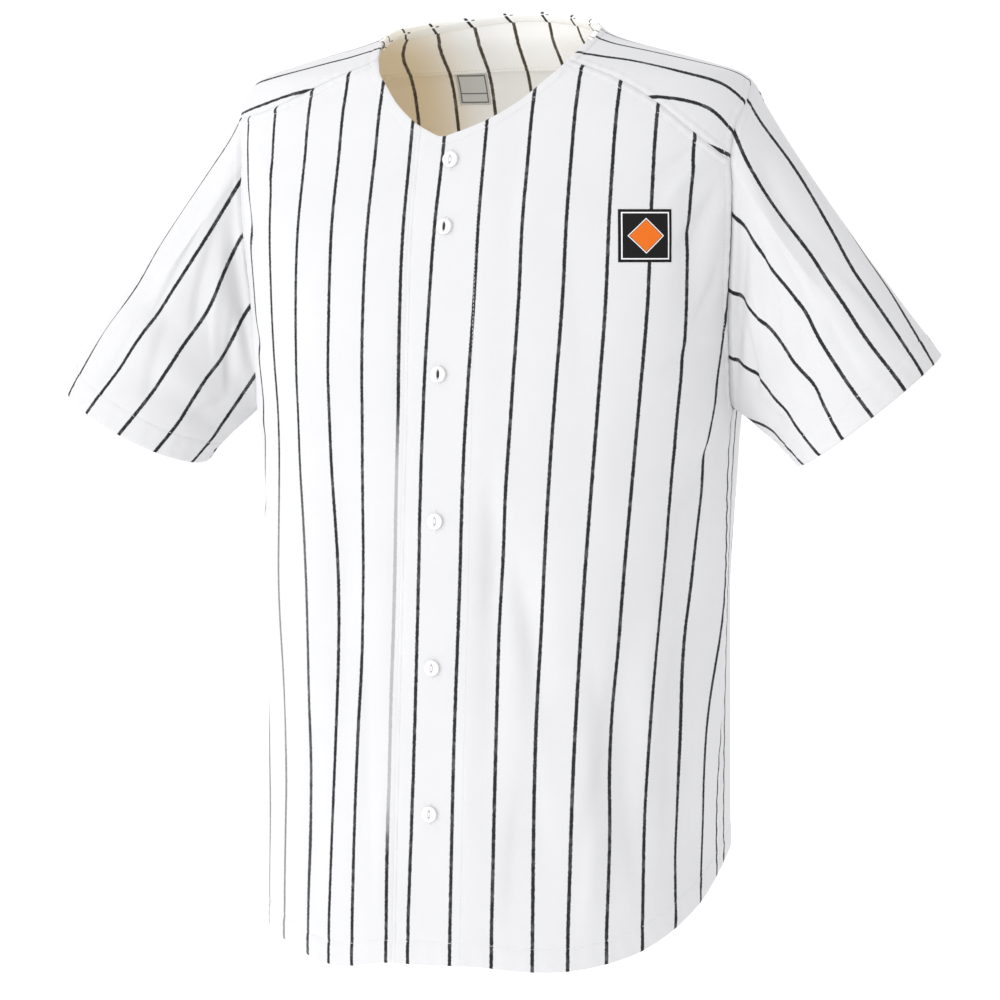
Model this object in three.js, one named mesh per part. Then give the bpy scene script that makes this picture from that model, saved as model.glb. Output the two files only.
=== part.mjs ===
// A short-sleeved, full-button baseball jersey, filled out as if worn, with nobody in it.
// Millimetres, +Z up. The front faces -Y and the wearer's left arm is on +X.
// The origin lies in the neck opening, level with the two points where neck and shoulder meet.
import * as THREE from 'three';

// Cloth and sewing
const CLOTH = 1.5;
const SEAM_GAP = 0.3;
const LAYER = CLOTH + SEAM_GAP;
const EDGE_SHARE = 0.55;

// Button front: the wearer's left front lies over the right one
const PLACKET_HALF = 30;
const UNDERLAP_HALF = 22;
const PLACKET_EASE = 26;
const UNDERLAP_SINK = 0.5;
const BUTTON_COUNT = 6;
const FIRST_BUTTON = -101;
const SECOND_BUTTON = -152;
const BUTTON_PITCH = 112.5;
const BUTTON_RADIUS = 6.2;
const BUTTON_THICK = 2.6;
const BUTTON_RIM = 1.3;
const BUTTON_DISH = 0.7;
const BUTTON_EDGE = 0.4;
const BUTTON_SIDES = 20;

// Columns and rows of each panel's grid
const NECK_COLUMNS = 6;
const SEAM_COLUMNS = 10;
const BACK_NECK_COLUMNS = 12;
const SIDE_ROWS = 11;
const ARMHOLE_ROWS = 13;
const SADDLE_COLUMNS = 10;
const SLEEVE_RINGS = 12;

// Body sections, from far below the hem to above the neck: half width at the sides,
// depth in front of and behind the origin, and how square the oval is (2 is an ellipse)
const TORSO = [
  { height: -800, half: 189, front: 142, back: 142, square: 2.35 },
  { height: -700, half: 189, front: 140, back: 141, square: 2.35 },
  { height: -600, half: 189, front: 136, back: 139, square: 2.35 },
  { height: -490, half: 190, front: 131, back: 137, square: 2.35 },
  { height: -373, half: 193, front: 124, back: 134, square: 2.35 },
  { height: -300, half: 197, front: 119, back: 132, square: 2.35 },
  { height: -260, half: 202, front: 117, back: 131, square: 2.35 },
  { height: -205, half: 207, front: 112, back: 128, square: 2.35 },
  { height: -152, half: 214, front: 105, back: 124, square: 2.35 },
  { height: -101, half: 219, front: 93, back: 114, square: 2.3 },
  { height: -65, half: 219, front: 84, back: 104, square: 2.3 },
  { height: -45, half: 212, front: 77, back: 98, square: 2.25 },
  { height: -33, half: 200, front: 73, back: 93, square: 2.2 },
  { height: -24, half: 172, front: 66, back: 88, square: 2.15 },
  { height: -16, half: 142, front: 58, back: 84, square: 2.1 },
  { height: -8, half: 112, front: 48, back: 80, square: 2.05 },
  { height: 0, half: 91, front: 38, back: 76, square: 2 },
  { height: 10, half: 78, front: 30, back: 73, square: 2 },
  { height: 20, half: 70, front: 25, back: 70, square: 2 },
  { height: 34, half: 60, front: 20, back: 66, square: 2 },
];

// Neck edge: height at each angle from the centre front, on the wearer's left and right
const NECK_EDGE = [
  { angle: 0, left: -80.5, right: -80.5 },
  { angle: 2.5, left: -77.5, right: -83 },
  { angle: 6, left: -72, right: -77.6 },
  { angle: 9, left: -66.5, right: -71.2 },
  { angle: 13.5, left: -55.2, right: -57 },
  { angle: 18, left: -42.3, right: -40 },
  { angle: 22, left: -33, right: -29.5 },
  { angle: 28, left: -24, right: -21.3 },
  { angle: 36, left: -16.8, right: -14.5 },
  { angle: 50, left: -8.5, right: -7.5 },
  { angle: 70, left: -1, right: -1 },
  { angle: 90, left: 4, right: 4 },
  { angle: 120, left: 11, right: 11 },
  { angle: 150, left: 17, right: 17 },
  { angle: 180, left: 20, right: 20 },
];

// Shirt-tail hem: height at each angle from the centre front
const HEM_EDGE = [
  { angle: 0, left: -719, right: -719 },
  { angle: 12, left: -718, right: -721 },
  { angle: 22, left: -720, right: -727 },
  { angle: 30, left: -720, right: -727 },
  { angle: 38, left: -717, right: -721 },
  { angle: 50, left: -708, right: -714 },
  { angle: 60, left: -696, right: -709 },
  { angle: 72, left: -681, right: -699 },
  { angle: 84, left: -667, right: -684 },
  { angle: 96, left: -657, right: -674 },
  { angle: 108, left: -659, right: -676 },
  { angle: 120, left: -678, right: -690 },
  { angle: 136, left: -706, right: -714 },
  { angle: 155, left: -724, right: -727 },
  { angle: 180, left: -731, right: -731 },
];

// Armhole on the body, from the underarm up the front, over the shoulder and down the back
const ARMHOLE = [
  { angle: 90, height: -291 },
  { angle: 84, height: -277 },
  { angle: 78.5, height: -240 },
  { angle: 75, height: -200 },
  { angle: 72, height: -160 },
  { angle: 69, height: -120 },
  { angle: 67, height: -95 },
  { angle: 71, height: -66 },
  { angle: 90, height: -43 },
  { angle: 104, height: -56 },
  { angle: 112, height: -84 },
  { angle: 114, height: -120 },
  { angle: 112, height: -160 },
  { angle: 108, height: -200 },
  { angle: 103, height: -240 },
  { angle: 96, height: -277 },
];

// Seams between a saddle and its front or back. Each starts on the neck edge at an angle,
// ends on the armhole at a place counted in rows of its table, and passes between by
// distance from the centre line and height.
const FRONT_SEAM = {
  left: {
    neckAngle: 28.5,
    armholeRow: 5.75,
    between: [
      { across: 120, height: -37 },
      { across: 152, height: -54.5 },
      { across: 180, height: -77 },
    ],
  },
  right: {
    neckAngle: 28,
    armholeRow: 7,
    between: [
      { across: 111, height: -35 },
      { across: 145, height: -49 },
      { across: 176, height: -60 },
    ],
  },
};
const BACK_SEAM = {
  neckAngle: 143,
  armholeRow: 10,
  between: [
    { across: 84, height: -8 },
    { across: 122, height: -27 },
    { across: 162, height: -53 },
  ],
};

// Largest soft folds of the body: where they lie, how many degrees they lean in each
// 100 mm down, how wide and how deep
const LEAN_OVER = 100;
const BODY_FOLDS = [
  { angle: 14.5, lean: 0.5, top: -330, bottom: -600, spread: 4, depth: 4 },
  { angle: 28, lean: -1.5, top: -430, bottom: -735, spread: 6, depth: 5 },
  { angle: 47, lean: -2, top: -380, bottom: -730, spread: 6, depth: 4.5 },
  { angle: 66, lean: -3, top: -290, bottom: -690, spread: 6, depth: 5 },
  { angle: 57, lean: 3, top: -88, bottom: -250, spread: 5, depth: 3.5 },
  { angle: 86, lean: -2, top: -300, bottom: -640, spread: 5, depth: -4 },
  { angle: -24, lean: 1, top: -240, bottom: -640, spread: 5, depth: 3.5 },
  { angle: -46, lean: 1.5, top: -300, bottom: -725, spread: 6, depth: 4.5 },
  { angle: -69, lean: 2, top: -290, bottom: -700, spread: 6, depth: 4 },
  { angle: 112, lean: 3, top: -300, bottom: -680, spread: 6, depth: 5 },
  { angle: 140, lean: -2, top: -250, bottom: -730, spread: 7, depth: 5 },
  { angle: 168, lean: 2, top: -140, bottom: -560, spread: 7, depth: 4 },
  { angle: -166, lean: -2, top: -330, bottom: -735, spread: 7, depth: 5 },
  { angle: -138, lean: 2, top: -220, bottom: -620, spread: 7, depth: 5 },
  { angle: -112, lean: -3, top: -300, bottom: -690, spread: 6, depth: 5 },
];

// Set-in sleeves: centre of each cuff and the way the tube runs, and a cuff's two half widths
const SLEEVES = {
  left: { out: 312.5, forward: 19, down: 291, lean: 37 },
  right: { out: 312.5, forward: 19, down: 312, lean: 28.5 },
};
const CUFF_HALF_WIDTH = 69;
const CUFF_HALF_DEPTH = 54;
const CAP_SLOPE = 40;
const CAP_FLARE = 0.25;
const HANDLE = 0.36;
const CUFF_TURN = 0.35;

// Soft diagonal folds of a sleeve: where they cross the tube, along and around it
const SLEEVE_FOLD_REACH = 55;
const SLEEVE_FOLDS = [
  { along: 0.3, around: 70, twist: 60, spread: 0.1, depth: 4 },
  { along: 0.52, around: 110, twist: 50, spread: 0.09, depth: 4.5 },
  { along: 0.74, around: 80, twist: 40, spread: 0.08, depth: 3 },
  { along: 0.4, around: 270, twist: -55, spread: 0.1, depth: 4 },
  { along: 0.66, around: 250, twist: -40, spread: 0.1, depth: 4 },
];

// Half-moon facing inside the back neck, the narrow binding on its edge, and the label
const NECK_HALF_ANGLE = 84;
const FACING_THICK = 1.2;
const FACING_GAP = 0.5;
const FACING_HANG = 2.6;
const FACING_HANG_FROM = 14;
const FACING_HANG_TO = -8;
const FACING_DEPTH = [
  { angle: 0, depth: 44 },
  { angle: 22, depth: 43 },
  { angle: 40, depth: 36 },
  { angle: 58, depth: 20 },
  { angle: 72, depth: 10 },
  { angle: 84, depth: 7.5 },
];
const FACING_COLUMNS = 28;
const FACING_ROWS = 4;
const BINDING_WIDTH = 6.5;
const BINDING_THICK = 1;
const BINDING_GAP = 0.7;
const LABEL_SIDE = 26;
const LABEL_OFF_CENTRE = -51;
const LABEL_TOP = -26;
const LABEL_THICK = 1;
const LABEL_GAP = 1.3;
const LABEL_CELLS = 4;

const rad = THREE.MathUtils.degToRad;
const lerp = THREE.MathUtils.lerp;

// Smooth value of one column of a table whose key column rises
function readTable(table, key, column, at) {
  const last = table.length - 1;
  let low = 0;
  while (low < last - 1 && table[low + 1][key] < at) low += 1;
  const slope = (i) => {
    const a = Math.max(i - 1, 0);
    const b = Math.min(i + 1, last);
    return (table[b][column] - table[a][column]) / (table[b][key] - table[a][key]);
  };
  const span = table[low + 1][key] - table[low][key];
  const t = (at - table[low][key]) / span;
  const t2 = t * t;
  const t3 = t2 * t;
  return (2 * t3 - 3 * t2 + 1) * table[low][column]
    + (t3 - 2 * t2 + t) * span * slope(low)
    + (3 * t2 - 2 * t3) * table[low + 1][column]
    + (t3 - t2) * span * slope(low + 1);
}

// Turns an edge table with left and right columns into one list round the body
function wholeRound(table) {
  const right = table.slice(1).reverse().map((row) => ({ angle: -row.angle, height: row.right }));
  const left = table.map((row) => ({ angle: row.angle, height: row.left }));
  const before = table.slice(-3, -1).map((row) => ({ angle: row.angle - 360, height: row.left }));
  const after = table.slice(-3, -1).reverse().map((row) => ({ angle: 360 - row.angle, height: row.right }));
  return [...before, ...right, ...left, ...after];
}
const NECK_ROUND = wholeRound(NECK_EDGE);
const HEM_ROUND = wholeRound(HEM_EDGE);

function wrapAngle(angle) {
  return angle - 360 * Math.round(angle / 360);
}

function neckHeight(angle) {
  return readTable(NECK_ROUND, 'angle', 'height', wrapAngle(angle));
}

function hemHeight(angle) {
  return readTable(HEM_ROUND, 'angle', 'height', wrapAngle(angle));
}

// How far the folds pull the cloth in at one place on the body
function foldDepth(angle, height) {
  let depth = 0;
  for (const fold of BODY_FOLDS) {
    const middle = (fold.top + fold.bottom) / 2;
    const reach = (fold.top - fold.bottom) / 2;
    const along = (height - middle) / reach;
    if (Math.abs(along) < 1) {
      const fade = Math.cos(along * Math.PI / 2) ** 2;
      const centre = fold.angle + fold.lean * (middle - height) / LEAN_OVER;
      const across = wrapAngle(angle - centre) / fold.spread;
      depth += fold.depth * fade * Math.exp(-across * across);
    }
  }
  return depth;
}

// Point of the body's outer surface without its thickness
function bodySurface(angle, height) {
  const half = readTable(TORSO, 'height', 'half', height);
  const square = readTable(TORSO, 'height', 'square', height);
  const side = Math.sin(rad(angle));
  const ahead = Math.cos(rad(angle));
  const depth = readTable(TORSO, 'height', ahead > 0 ? 'front' : 'back', height);
  const round = (Math.abs(side) ** square + Math.abs(ahead) ** square) ** (-1 / square);
  const fold = foldDepth(angle, height);
  return new THREE.Vector3(
    half * round * side - fold * side,
    -depth * round * ahead + fold * ahead,
    height,
  );
}

// Outward direction, from neighbours a short way off in degrees and in height
const NORMAL_STEP = 1.5;
function bodyNormal(angle, height) {
  const across = bodySurface(angle + NORMAL_STEP, height).sub(bodySurface(angle - NORMAL_STEP, height));
  const up = bodySurface(angle, height + NORMAL_STEP).sub(bodySurface(angle, height - NORMAL_STEP));
  return across.cross(up).normalize();
}

function bodyPoint(angle, height, lift) {
  return bodySurface(angle, height).addScaledVector(bodyNormal(angle, height), lift);
}

// Angle at which the front lies a given distance from the centre line
function angleAcross(distance, height) {
  return THREE.MathUtils.radToDeg(Math.asin(distance / readTable(TORSO, 'height', 'half', height)));
}

// Angle of the point of the front or back that lies a given distance from the centre line
function angleAt(across, height, behind) {
  const side = Math.min(Math.abs(across) / readTable(TORSO, 'height', 'half', height), 1);
  const square = readTable(TORSO, 'height', 'square', height);
  const ahead = (1 - side ** square) ** (1 / square);
  const angle = THREE.MathUtils.radToDeg(Math.atan2(side, ahead));
  return (across < 0 ? -1 : 1) * (behind ? 180 - angle : angle);
}

// Rows of one saddle seam, with its ends on the neck edge and on the armhole
function seamRows(seam, sign) {
  const neckAngle = sign * seam.neckAngle;
  const neck = { angle: neckAngle, height: neckHeight(neckAngle) };
  const armhole = onArmhole(seam.armholeRow, sign);
  const end = (place) => ({
    across: Math.abs(plainAcross(place.angle, place.height)),
    height: place.height,
  });
  return [end(neck), ...seam.between, end(armhole)].map((row, index) => ({ ...row, index }));
}

// Place on a saddle seam, from the neck (0) to the armhole (1)
function alongSeam(seam, t, sign) {
  const rows = seamRows(seam, sign);
  const at = t * (rows.length - 1);
  const across = sign * readTable(rows, 'index', 'across', at);
  const height = readTable(rows, 'index', 'height', at);
  return { angle: angleAt(across, height, seam.neckAngle > 90), height };
}

// Two ways to lay a patch out flat before its edges are blended. Over the shoulders it is
// angle against length along the shoulder; on the fronts and back it is distance from the
// centre line, as the sine of an angle, against height.
const SHOULDER_SHARE = 0.6;
const LEVEL_STEP = 2;
const LEVELS = [];
for (let height = TORSO[0].height; height <= TORSO[TORSO.length - 1].height; height += LEVEL_STEP) {
  const last = LEVELS[LEVELS.length - 1];
  const half = readTable(TORSO, 'height', 'half', height);
  const level = last ? last.level + Math.hypot(LEVEL_STEP, SHOULDER_SHARE * (half - last.half)) : 0;
  LEVELS.push({ height, half, level });
}
const roundChart = {
  flatten: (place) => [place.angle, readTable(LEVELS, 'height', 'level', place.height)],
  restore: ([angle, level]) => ({ angle, height: readTable(LEVELS, 'level', 'height', level) }),
};

// Half width that distances across are measured against: above the shoulder point it stays
const SHOULDER_HEIGHT = -101;
const SHOULDER_HALF = 219;
function widest(height) {
  return height < SHOULDER_HEIGHT ? readTable(TORSO, 'height', 'half', height) : SHOULDER_HALF;
}
const frontChart = {
  flatten: (place) => {
    const across = plainAcross(place.angle, place.height);
    return [Math.asin(THREE.MathUtils.clamp(across / widest(place.height), -1, 1)), place.height];
  },
  restore: ([turn, height]) => ({ angle: angleAt(widest(height) * Math.sin(turn), height, false), height }),
};
const backChart = {
  flatten: (place) => {
    const across = plainAcross(place.angle, place.height);
    return [-Math.asin(THREE.MathUtils.clamp(across / widest(place.height), -1, 1)), place.height];
  },
  restore: ([turn, height]) => {
    const angle = angleAt(-widest(height) * Math.sin(turn), height, true);
    return { angle: angle < 0 ? angle + 360 : angle, height };
  },
};

// Distance of a place from the centre line, leaving folds out
function plainAcross(angle, height) {
  const square = readTable(TORSO, 'height', 'square', height);
  const side = Math.sin(rad(angle));
  const ahead = Math.cos(rad(angle));
  const round = (Math.abs(side) ** square + Math.abs(ahead) ** square) ** (-1 / square);
  return readTable(TORSO, 'height', 'half', height) * round * side;
}

// Place on the armhole, counted in rows of its table round the closed loop
const ARMHOLE_LOOP = [-2, -1, ...ARMHOLE.keys(), ARMHOLE.length, ARMHOLE.length + 1].map((index) => ({
  ...ARMHOLE[(index + ARMHOLE.length) % ARMHOLE.length],
  index,
}));
function onArmhole(at, sign) {
  return {
    angle: sign * readTable(ARMHOLE_LOOP, 'index', 'angle', at),
    height: readTable(ARMHOLE_LOOP, 'index', 'height', at),
  };
}

// Blend of four edges into the place at (u, v), so that neighbours share their seams
function insidePatch(patch, u, v) {
  const flat = (edge, t) => patch.chart.flatten(patch[edge](t));
  const bottom = flat('bottom', u);
  const top = flat('top', u);
  const start = flat('start', v);
  const end = flat('end', v);
  const [lowStart, lowEnd] = [flat('bottom', 0), flat('bottom', 1)];
  const [highStart, highEnd] = [flat('top', 0), flat('top', 1)];
  return patch.chart.restore([0, 1].map((k) => (
    (1 - v) * bottom[k] + v * top[k] + (1 - u) * start[k] + u * end[k]
    - (1 - u) * (1 - v) * lowStart[k] - u * (1 - v) * lowEnd[k]
    - (1 - u) * v * highStart[k] - u * v * highEnd[k])));
}

// Closed wall between two grids of points, outer and inner, each a list of rows
function wallGeometry(outer, inner, closedRound) {
  const rows = outer.length;
  const columns = outer[0].length;
  const positions = [];
  for (const grid of [outer, inner]) {
    for (const row of grid) {
      for (const point of row) positions.push(point.x, point.y, point.z);
    }
  }
  const out = (j, i) => j * columns + (i % columns);
  const inn = (j, i) => rows * columns + out(j, i);
  const index = [];
  const quad = (a, b, c, d) => index.push(a, b, c, a, c, d);
  const lastColumn = closedRound ? columns : columns - 1;
  for (let j = 0; j < rows - 1; j += 1) {
    for (let i = 0; i < lastColumn; i += 1) {
      quad(out(j, i), out(j, i + 1), out(j + 1, i + 1), out(j + 1, i));
      quad(inn(j, i), inn(j + 1, i), inn(j + 1, i + 1), inn(j, i + 1));
    }
  }
  for (let i = 0; i < lastColumn; i += 1) {
    quad(out(0, i), inn(0, i), inn(0, i + 1), out(0, i + 1));
    quad(out(rows - 1, i), out(rows - 1, i + 1), inn(rows - 1, i + 1), inn(rows - 1, i));
  }
  if (!closedRound) {
    for (let j = 0; j < rows - 1; j += 1) {
      quad(out(j, 0), out(j + 1, 0), inn(j + 1, 0), inn(j, 0));
      quad(out(j, columns - 1), inn(j, columns - 1), inn(j + 1, columns - 1), out(j + 1, columns - 1));
    }
  }
  const geometry = new THREE.BufferGeometry();
  geometry.setAttribute('position', new THREE.Float32BufferAttribute(positions, 3));
  geometry.setIndex(index);
  geometry.computeVertexNormals();
  return geometry;
}

// Cloth wall over a patch of the body. Its edges are drawn in by half a seam gap.
function bodyPanel(edges, columns, rows, lift = () => 0, thick = CLOTH) {
  const outer = [];
  const inner = [];
  for (let j = 0; j <= rows; j += 1) {
    const outerRow = [];
    const innerRow = [];
    for (let i = 0; i <= columns; i += 1) {
      const place = insidePatch(edges, i / columns, j / rows);
      const shift = drawIn(edges, i, columns, j, rows, place);
      const rise = lift(place.angle, place.height);
      outerRow.push(bodyPoint(place.angle, place.height, rise).add(shift));
      innerRow.push(bodyPoint(place.angle, place.height, rise - thick).add(shift));
    }
    outer.push(outerRow);
    inner.push(innerRow);
  }
  return wallGeometry(outer, inner, false);
}

// Step of half a seam gap from an edge towards the inside of the patch, found from a place
// a small part of the patch further in
const INWARD_STEP = 0.02;
function drawIn(edges, i, columns, j, rows, place) {
  const shift = new THREE.Vector3();
  const here = bodySurface(place.angle, place.height);
  const stepIn = (du, dv) => {
    const near = insidePatch(edges, i / columns + du * INWARD_STEP, j / rows + dv * INWARD_STEP);
    const inward = bodySurface(near.angle, near.height).sub(here);
    const beside = insidePatch(edges,
      i / columns + Math.abs(dv) * INWARD_STEP, j / rows + Math.abs(du) * INWARD_STEP);
    const edge = bodySurface(beside.angle, beside.height).sub(here).normalize();
    inward.addScaledVector(edge, -inward.dot(edge)).normalize();
    shift.addScaledVector(inward, SEAM_GAP * EDGE_SHARE);
  };
  if (i === 0) stepIn(1, 0);
  if (i === columns) stepIn(-1, 0);
  if (j === 0) stepIn(0, 1);
  if (j === rows) stepIn(0, -1);
  return shift;
}

// Edge in two stretches: the first takes the share given by split
function twoStretches(first, second, split) {
  return (t) => (t < split ? first(t / split) : second((t - split) / (1 - split)));
}

function sideAndArmhole(sign, armholeFrom, armholeTo) {
  const split = SIDE_ROWS / (SIDE_ROWS + ARMHOLE_ROWS);
  const underarm = ARMHOLE[0].height;
  const side = (t) => ({ angle: sign * 90, height: lerp(hemHeight(sign * 90), underarm, t) });
  const armhole = (t) => onArmhole(lerp(armholeFrom, armholeTo, t), sign);
  return twoStretches(side, armhole, split);
}

// Upper front: the placket stands out over the layer below it and eases back to the body
function placketLift(angle, height) {
  const half = readTable(TORSO, 'height', 'half', height);
  const across = half * Math.sin(rad(angle));
  const t = THREE.MathUtils.clamp((across - PLACKET_HALF) / PLACKET_EASE, 0, 1);
  return LAYER * (1 - t * t * (3 - 2 * t));
}

// Lower front: it sinks a little where the placket covers it
function underlapLift(angle, height) {
  const half = readTable(TORSO, 'height', 'half', height);
  const across = half * Math.sin(rad(angle));
  const t = THREE.MathUtils.clamp((across + PLACKET_HALF + PLACKET_EASE) / PLACKET_EASE, 0, 1);
  return -UNDERLAP_SINK * t * t * (3 - 2 * t);
}

function frontEdges(side) {
  const sign = side === 'left' ? 1 : -1;
  const reach = side === 'left' ? -PLACKET_HALF : UNDERLAP_HALF;
  const seam = FRONT_SEAM[side];
  const neckStart = angleAcross(reach, NECK_EDGE[2].left);
  const neckEnd = sign * seam.neckAngle;
  const neck = (t) => {
    const angle = lerp(neckStart, neckEnd, t);
    return { angle, height: neckHeight(angle) };
  };
  const split = NECK_COLUMNS / (NECK_COLUMNS + SEAM_COLUMNS);
  const top = twoStretches(neck, (t) => alongSeam(seam, t, sign), split);
  const hemStart = angleAcross(reach, HEM_EDGE[0].left);
  const bottom = (t) => {
    const angle = lerp(hemStart, sign * 90, t);
    return { angle, height: hemHeight(angle) };
  };
  const placket = (t) => {
    const height = lerp(hemHeight(hemStart), neckHeight(neckStart), t);
    return { angle: lerp(hemStart, neckStart, t), height };
  };
  const end = sideAndArmhole(sign, 0, seam.armholeRow);
  return { chart: frontChart, top, bottom, start: placket, end };
}

// The same patch walked the other way, so that angles still rise with u
function reversed(edges) {
  return {
    chart: edges.chart,
    top: (t) => edges.top(1 - t),
    bottom: (t) => edges.bottom(1 - t),
    start: edges.end,
    end: edges.start,
  };
}

function frontLeft() {
  const rows = SIDE_ROWS + ARMHOLE_ROWS;
  return bodyPanel(frontEdges('left'), NECK_COLUMNS + SEAM_COLUMNS, rows, placketLift);
}

function frontRight() {
  const rows = SIDE_ROWS + ARMHOLE_ROWS;
  return bodyPanel(reversed(frontEdges('right')), NECK_COLUMNS + SEAM_COLUMNS, rows, underlapLift);
}

function backPanel() {
  const loop = ARMHOLE.length;
  const start = sideAndArmhole(1, loop, BACK_SEAM.armholeRow);
  const mirrored = sideAndArmhole(-1, loop, BACK_SEAM.armholeRow);
  const end = (t) => ({ angle: mirrored(t).angle + 360, height: mirrored(t).height });
  const neckAngle = BACK_SEAM.neckAngle;
  const columns = 2 * SEAM_COLUMNS + BACK_NECK_COLUMNS;
  const share = SEAM_COLUMNS / columns;
  const top = (t) => {
    if (t < share) return alongSeam(BACK_SEAM, 1 - t / share, 1);
    if (t > 1 - share) {
      const place = alongSeam(BACK_SEAM, (t - 1 + share) / share, -1);
      return { angle: place.angle + 360, height: place.height };
    }
    const angle = lerp(neckAngle, 360 - neckAngle, (t - share) / (1 - 2 * share));
    return { angle, height: neckHeight(angle) };
  };
  const bottom = (t) => ({ angle: lerp(90, 270, t), height: hemHeight(lerp(90, 270, t)) });
  return bodyPanel({ chart: backChart, top, bottom, start, end }, columns, SIDE_ROWS + ARMHOLE_ROWS);
}

// Saddle over one shoulder, between the front and back seams
function saddle(side) {
  const sign = side === 'left' ? 1 : -1;
  const seam = FRONT_SEAM[side];
  const frontSeam = (t) => alongSeam(seam, 1 - t, sign);
  const backSeam = (t) => alongSeam(BACK_SEAM, 1 - t, sign);
  const edges = {
    chart: roundChart,
    bottom: (t) => onArmhole(lerp(seam.armholeRow, BACK_SEAM.armholeRow, t), sign),
    top: (t) => {
      const angle = sign * lerp(seam.neckAngle, BACK_SEAM.neckAngle, t);
      return { angle, height: neckHeight(angle) };
    },
    start: frontSeam,
    end: backSeam,
  };
  return bodyPanel(sign > 0 ? edges : reversed(edges), SADDLE_COLUMNS, SEAM_COLUMNS);
}

// Places on the armhole where its panels have their corners, so that the sleeve meets them
function armholeStops(side) {
  const stops = [];
  const add = (from, to, count) => {
    for (let i = 0; i < count; i += 1) stops.push(lerp(from, to, i / count));
  };
  const frontEnd = FRONT_SEAM[side].armholeRow;
  add(0, frontEnd, ARMHOLE_ROWS);
  add(frontEnd, BACK_SEAM.armholeRow, SADDLE_COLUMNS);
  add(BACK_SEAM.armholeRow, ARMHOLE.length, ARMHOLE_ROWS);
  return stops;
}

// Turn round the armhole in degrees, by length: 0 at the underarm, 180 about the shoulder
function turnsByLength(points) {
  const lengths = [0];
  points.forEach((point, i) => {
    lengths.push(lengths[i] + point.distanceTo(points[(i + 1) % points.length]));
  });
  const whole = lengths[points.length];
  return points.map((point, i) => 360 * lengths[i] / whole);
}

function sleeveFold(along, turn) {
  let depth = 0;
  for (const fold of SLEEVE_FOLDS) {
    const around = wrapAngle(turn - fold.around);
    const across = (along - fold.along - around / fold.twist * fold.spread) / fold.spread;
    const fade = Math.exp(-((around / SLEEVE_FOLD_REACH) ** 2)) * Math.sin(Math.PI * along);
    depth += fold.depth * fade * Math.exp(-across * across);
  }
  return depth;
}

// One sleeve: a tube from the armhole to the cuff, bent over the shoulder
function sleeve(side) {
  const sign = side === 'left' ? 1 : -1;
  const size = SLEEVES[side];
  const axis = new THREE.Vector3(sign * Math.sin(rad(size.lean)), 0, -Math.cos(rad(size.lean)));
  const upOut = new THREE.Vector3(sign * Math.cos(rad(size.lean)), 0, Math.sin(rad(size.lean)));
  const centre = new THREE.Vector3(sign * size.out, -size.forward, -size.down);
  const stops = armholeStops(side).map((at) => onArmhole(at, sign));
  const roots = stops.map((place) => bodySurface(place.angle, place.height));
  const turns = turnsByLength(roots);
  const leaves = stops.map((place, i) => {
    const turn = rad(turns[i]);
    const cap = Math.max(0, -Math.cos(turn)) ** 2;
    const down = bodySurface(place.angle, place.height - 1).sub(roots[i]).normalize();
    const out = new THREE.Vector3(
      sign * Math.cos(rad(CAP_SLOPE)), -CAP_FLARE * Math.sin(turn), -Math.sin(rad(CAP_SLOPE)));
    return { cap, way: out.normalize().lerp(down, cap).normalize() };
  });
  const surface = (along, i) => {
    const turn = rad(turns[i]);
    const end = centre.clone()
      .addScaledVector(upOut, -CUFF_HALF_WIDTH * Math.cos(turn))
      .add(new THREE.Vector3(0, -CUFF_HALF_DEPTH * Math.sin(turn), 0));
    const chord = end.clone().sub(roots[i]).normalize();
    const arrive = chord.lerp(axis, CUFF_TURN).normalize();
    const reach = HANDLE * roots[i].distanceTo(end);
    const curve = new THREE.CubicBezierCurve3(
      roots[i].clone().addScaledVector(leaves[i].way, SEAM_GAP),
      roots[i].clone().addScaledVector(leaves[i].way, reach),
      end.clone().addScaledVector(arrive, -reach),
      end,
    );
    return curve.getPoint(along);
  };
  const plain = [];
  for (let j = 0; j <= SLEEVE_RINGS; j += 1) {
    plain.push(stops.map((place, i) => surface(j / SLEEVE_RINGS, i)));
  }
  const normals = gridNormals(plain, sign);
  const folded = plain.map((ring, j) => ring.map((point, i) => (
    point.clone().addScaledVector(normals[j][i], -sleeveFold(j / SLEEVE_RINGS, turns[i])))));
  const wallWays = gridNormals(folded, sign);
  const inner = folded.map((ring, j) => ring.map((point, i) => {
    const way = wallWays[j][i].clone();
    if (j === 0) way.lerp(bodyNormal(stops[i].angle, stops[i].height), leaves[i].cap).normalize();
    return point.clone().addScaledVector(way, -CLOTH);
  }));
  const order = (grid) => grid.map((ring) => (sign > 0 ? [...ring].reverse() : ring));
  return wallGeometry(order(folded), order(inner), true);
}

// Outward directions of a tube's grid, rings along it and points around it
function gridNormals(grid, sign) {
  const last = grid.length - 1;
  return grid.map((ring, j) => ring.map((point, i) => {
    const count = ring.length;
    const around = ring[(i + 1) % count].clone().sub(ring[(i - 1 + count) % count]);
    const along = grid[Math.min(j + 1, last)][i].clone().sub(grid[Math.max(j - 1, 0)][i]);
    return along.cross(around).normalize().multiplyScalar(sign);
  }));
}

// Patch of the inside, between two heights at each angle
function insideStrip(fromAngle, toAngle, topAt, bottomAt) {
  const at = (t) => lerp(fromAngle, toAngle, t);
  const upright = (angle) => (t) => ({ angle, height: lerp(bottomAt(angle), topAt(angle), t) });
  return {
    chart: roundChart,
    top: (t) => ({ angle: at(t), height: topAt(at(t)) }),
    bottom: (t) => ({ angle: at(t), height: bottomAt(at(t)) }),
    start: upright(fromAngle),
    end: upright(toAngle),
  };
}

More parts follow.
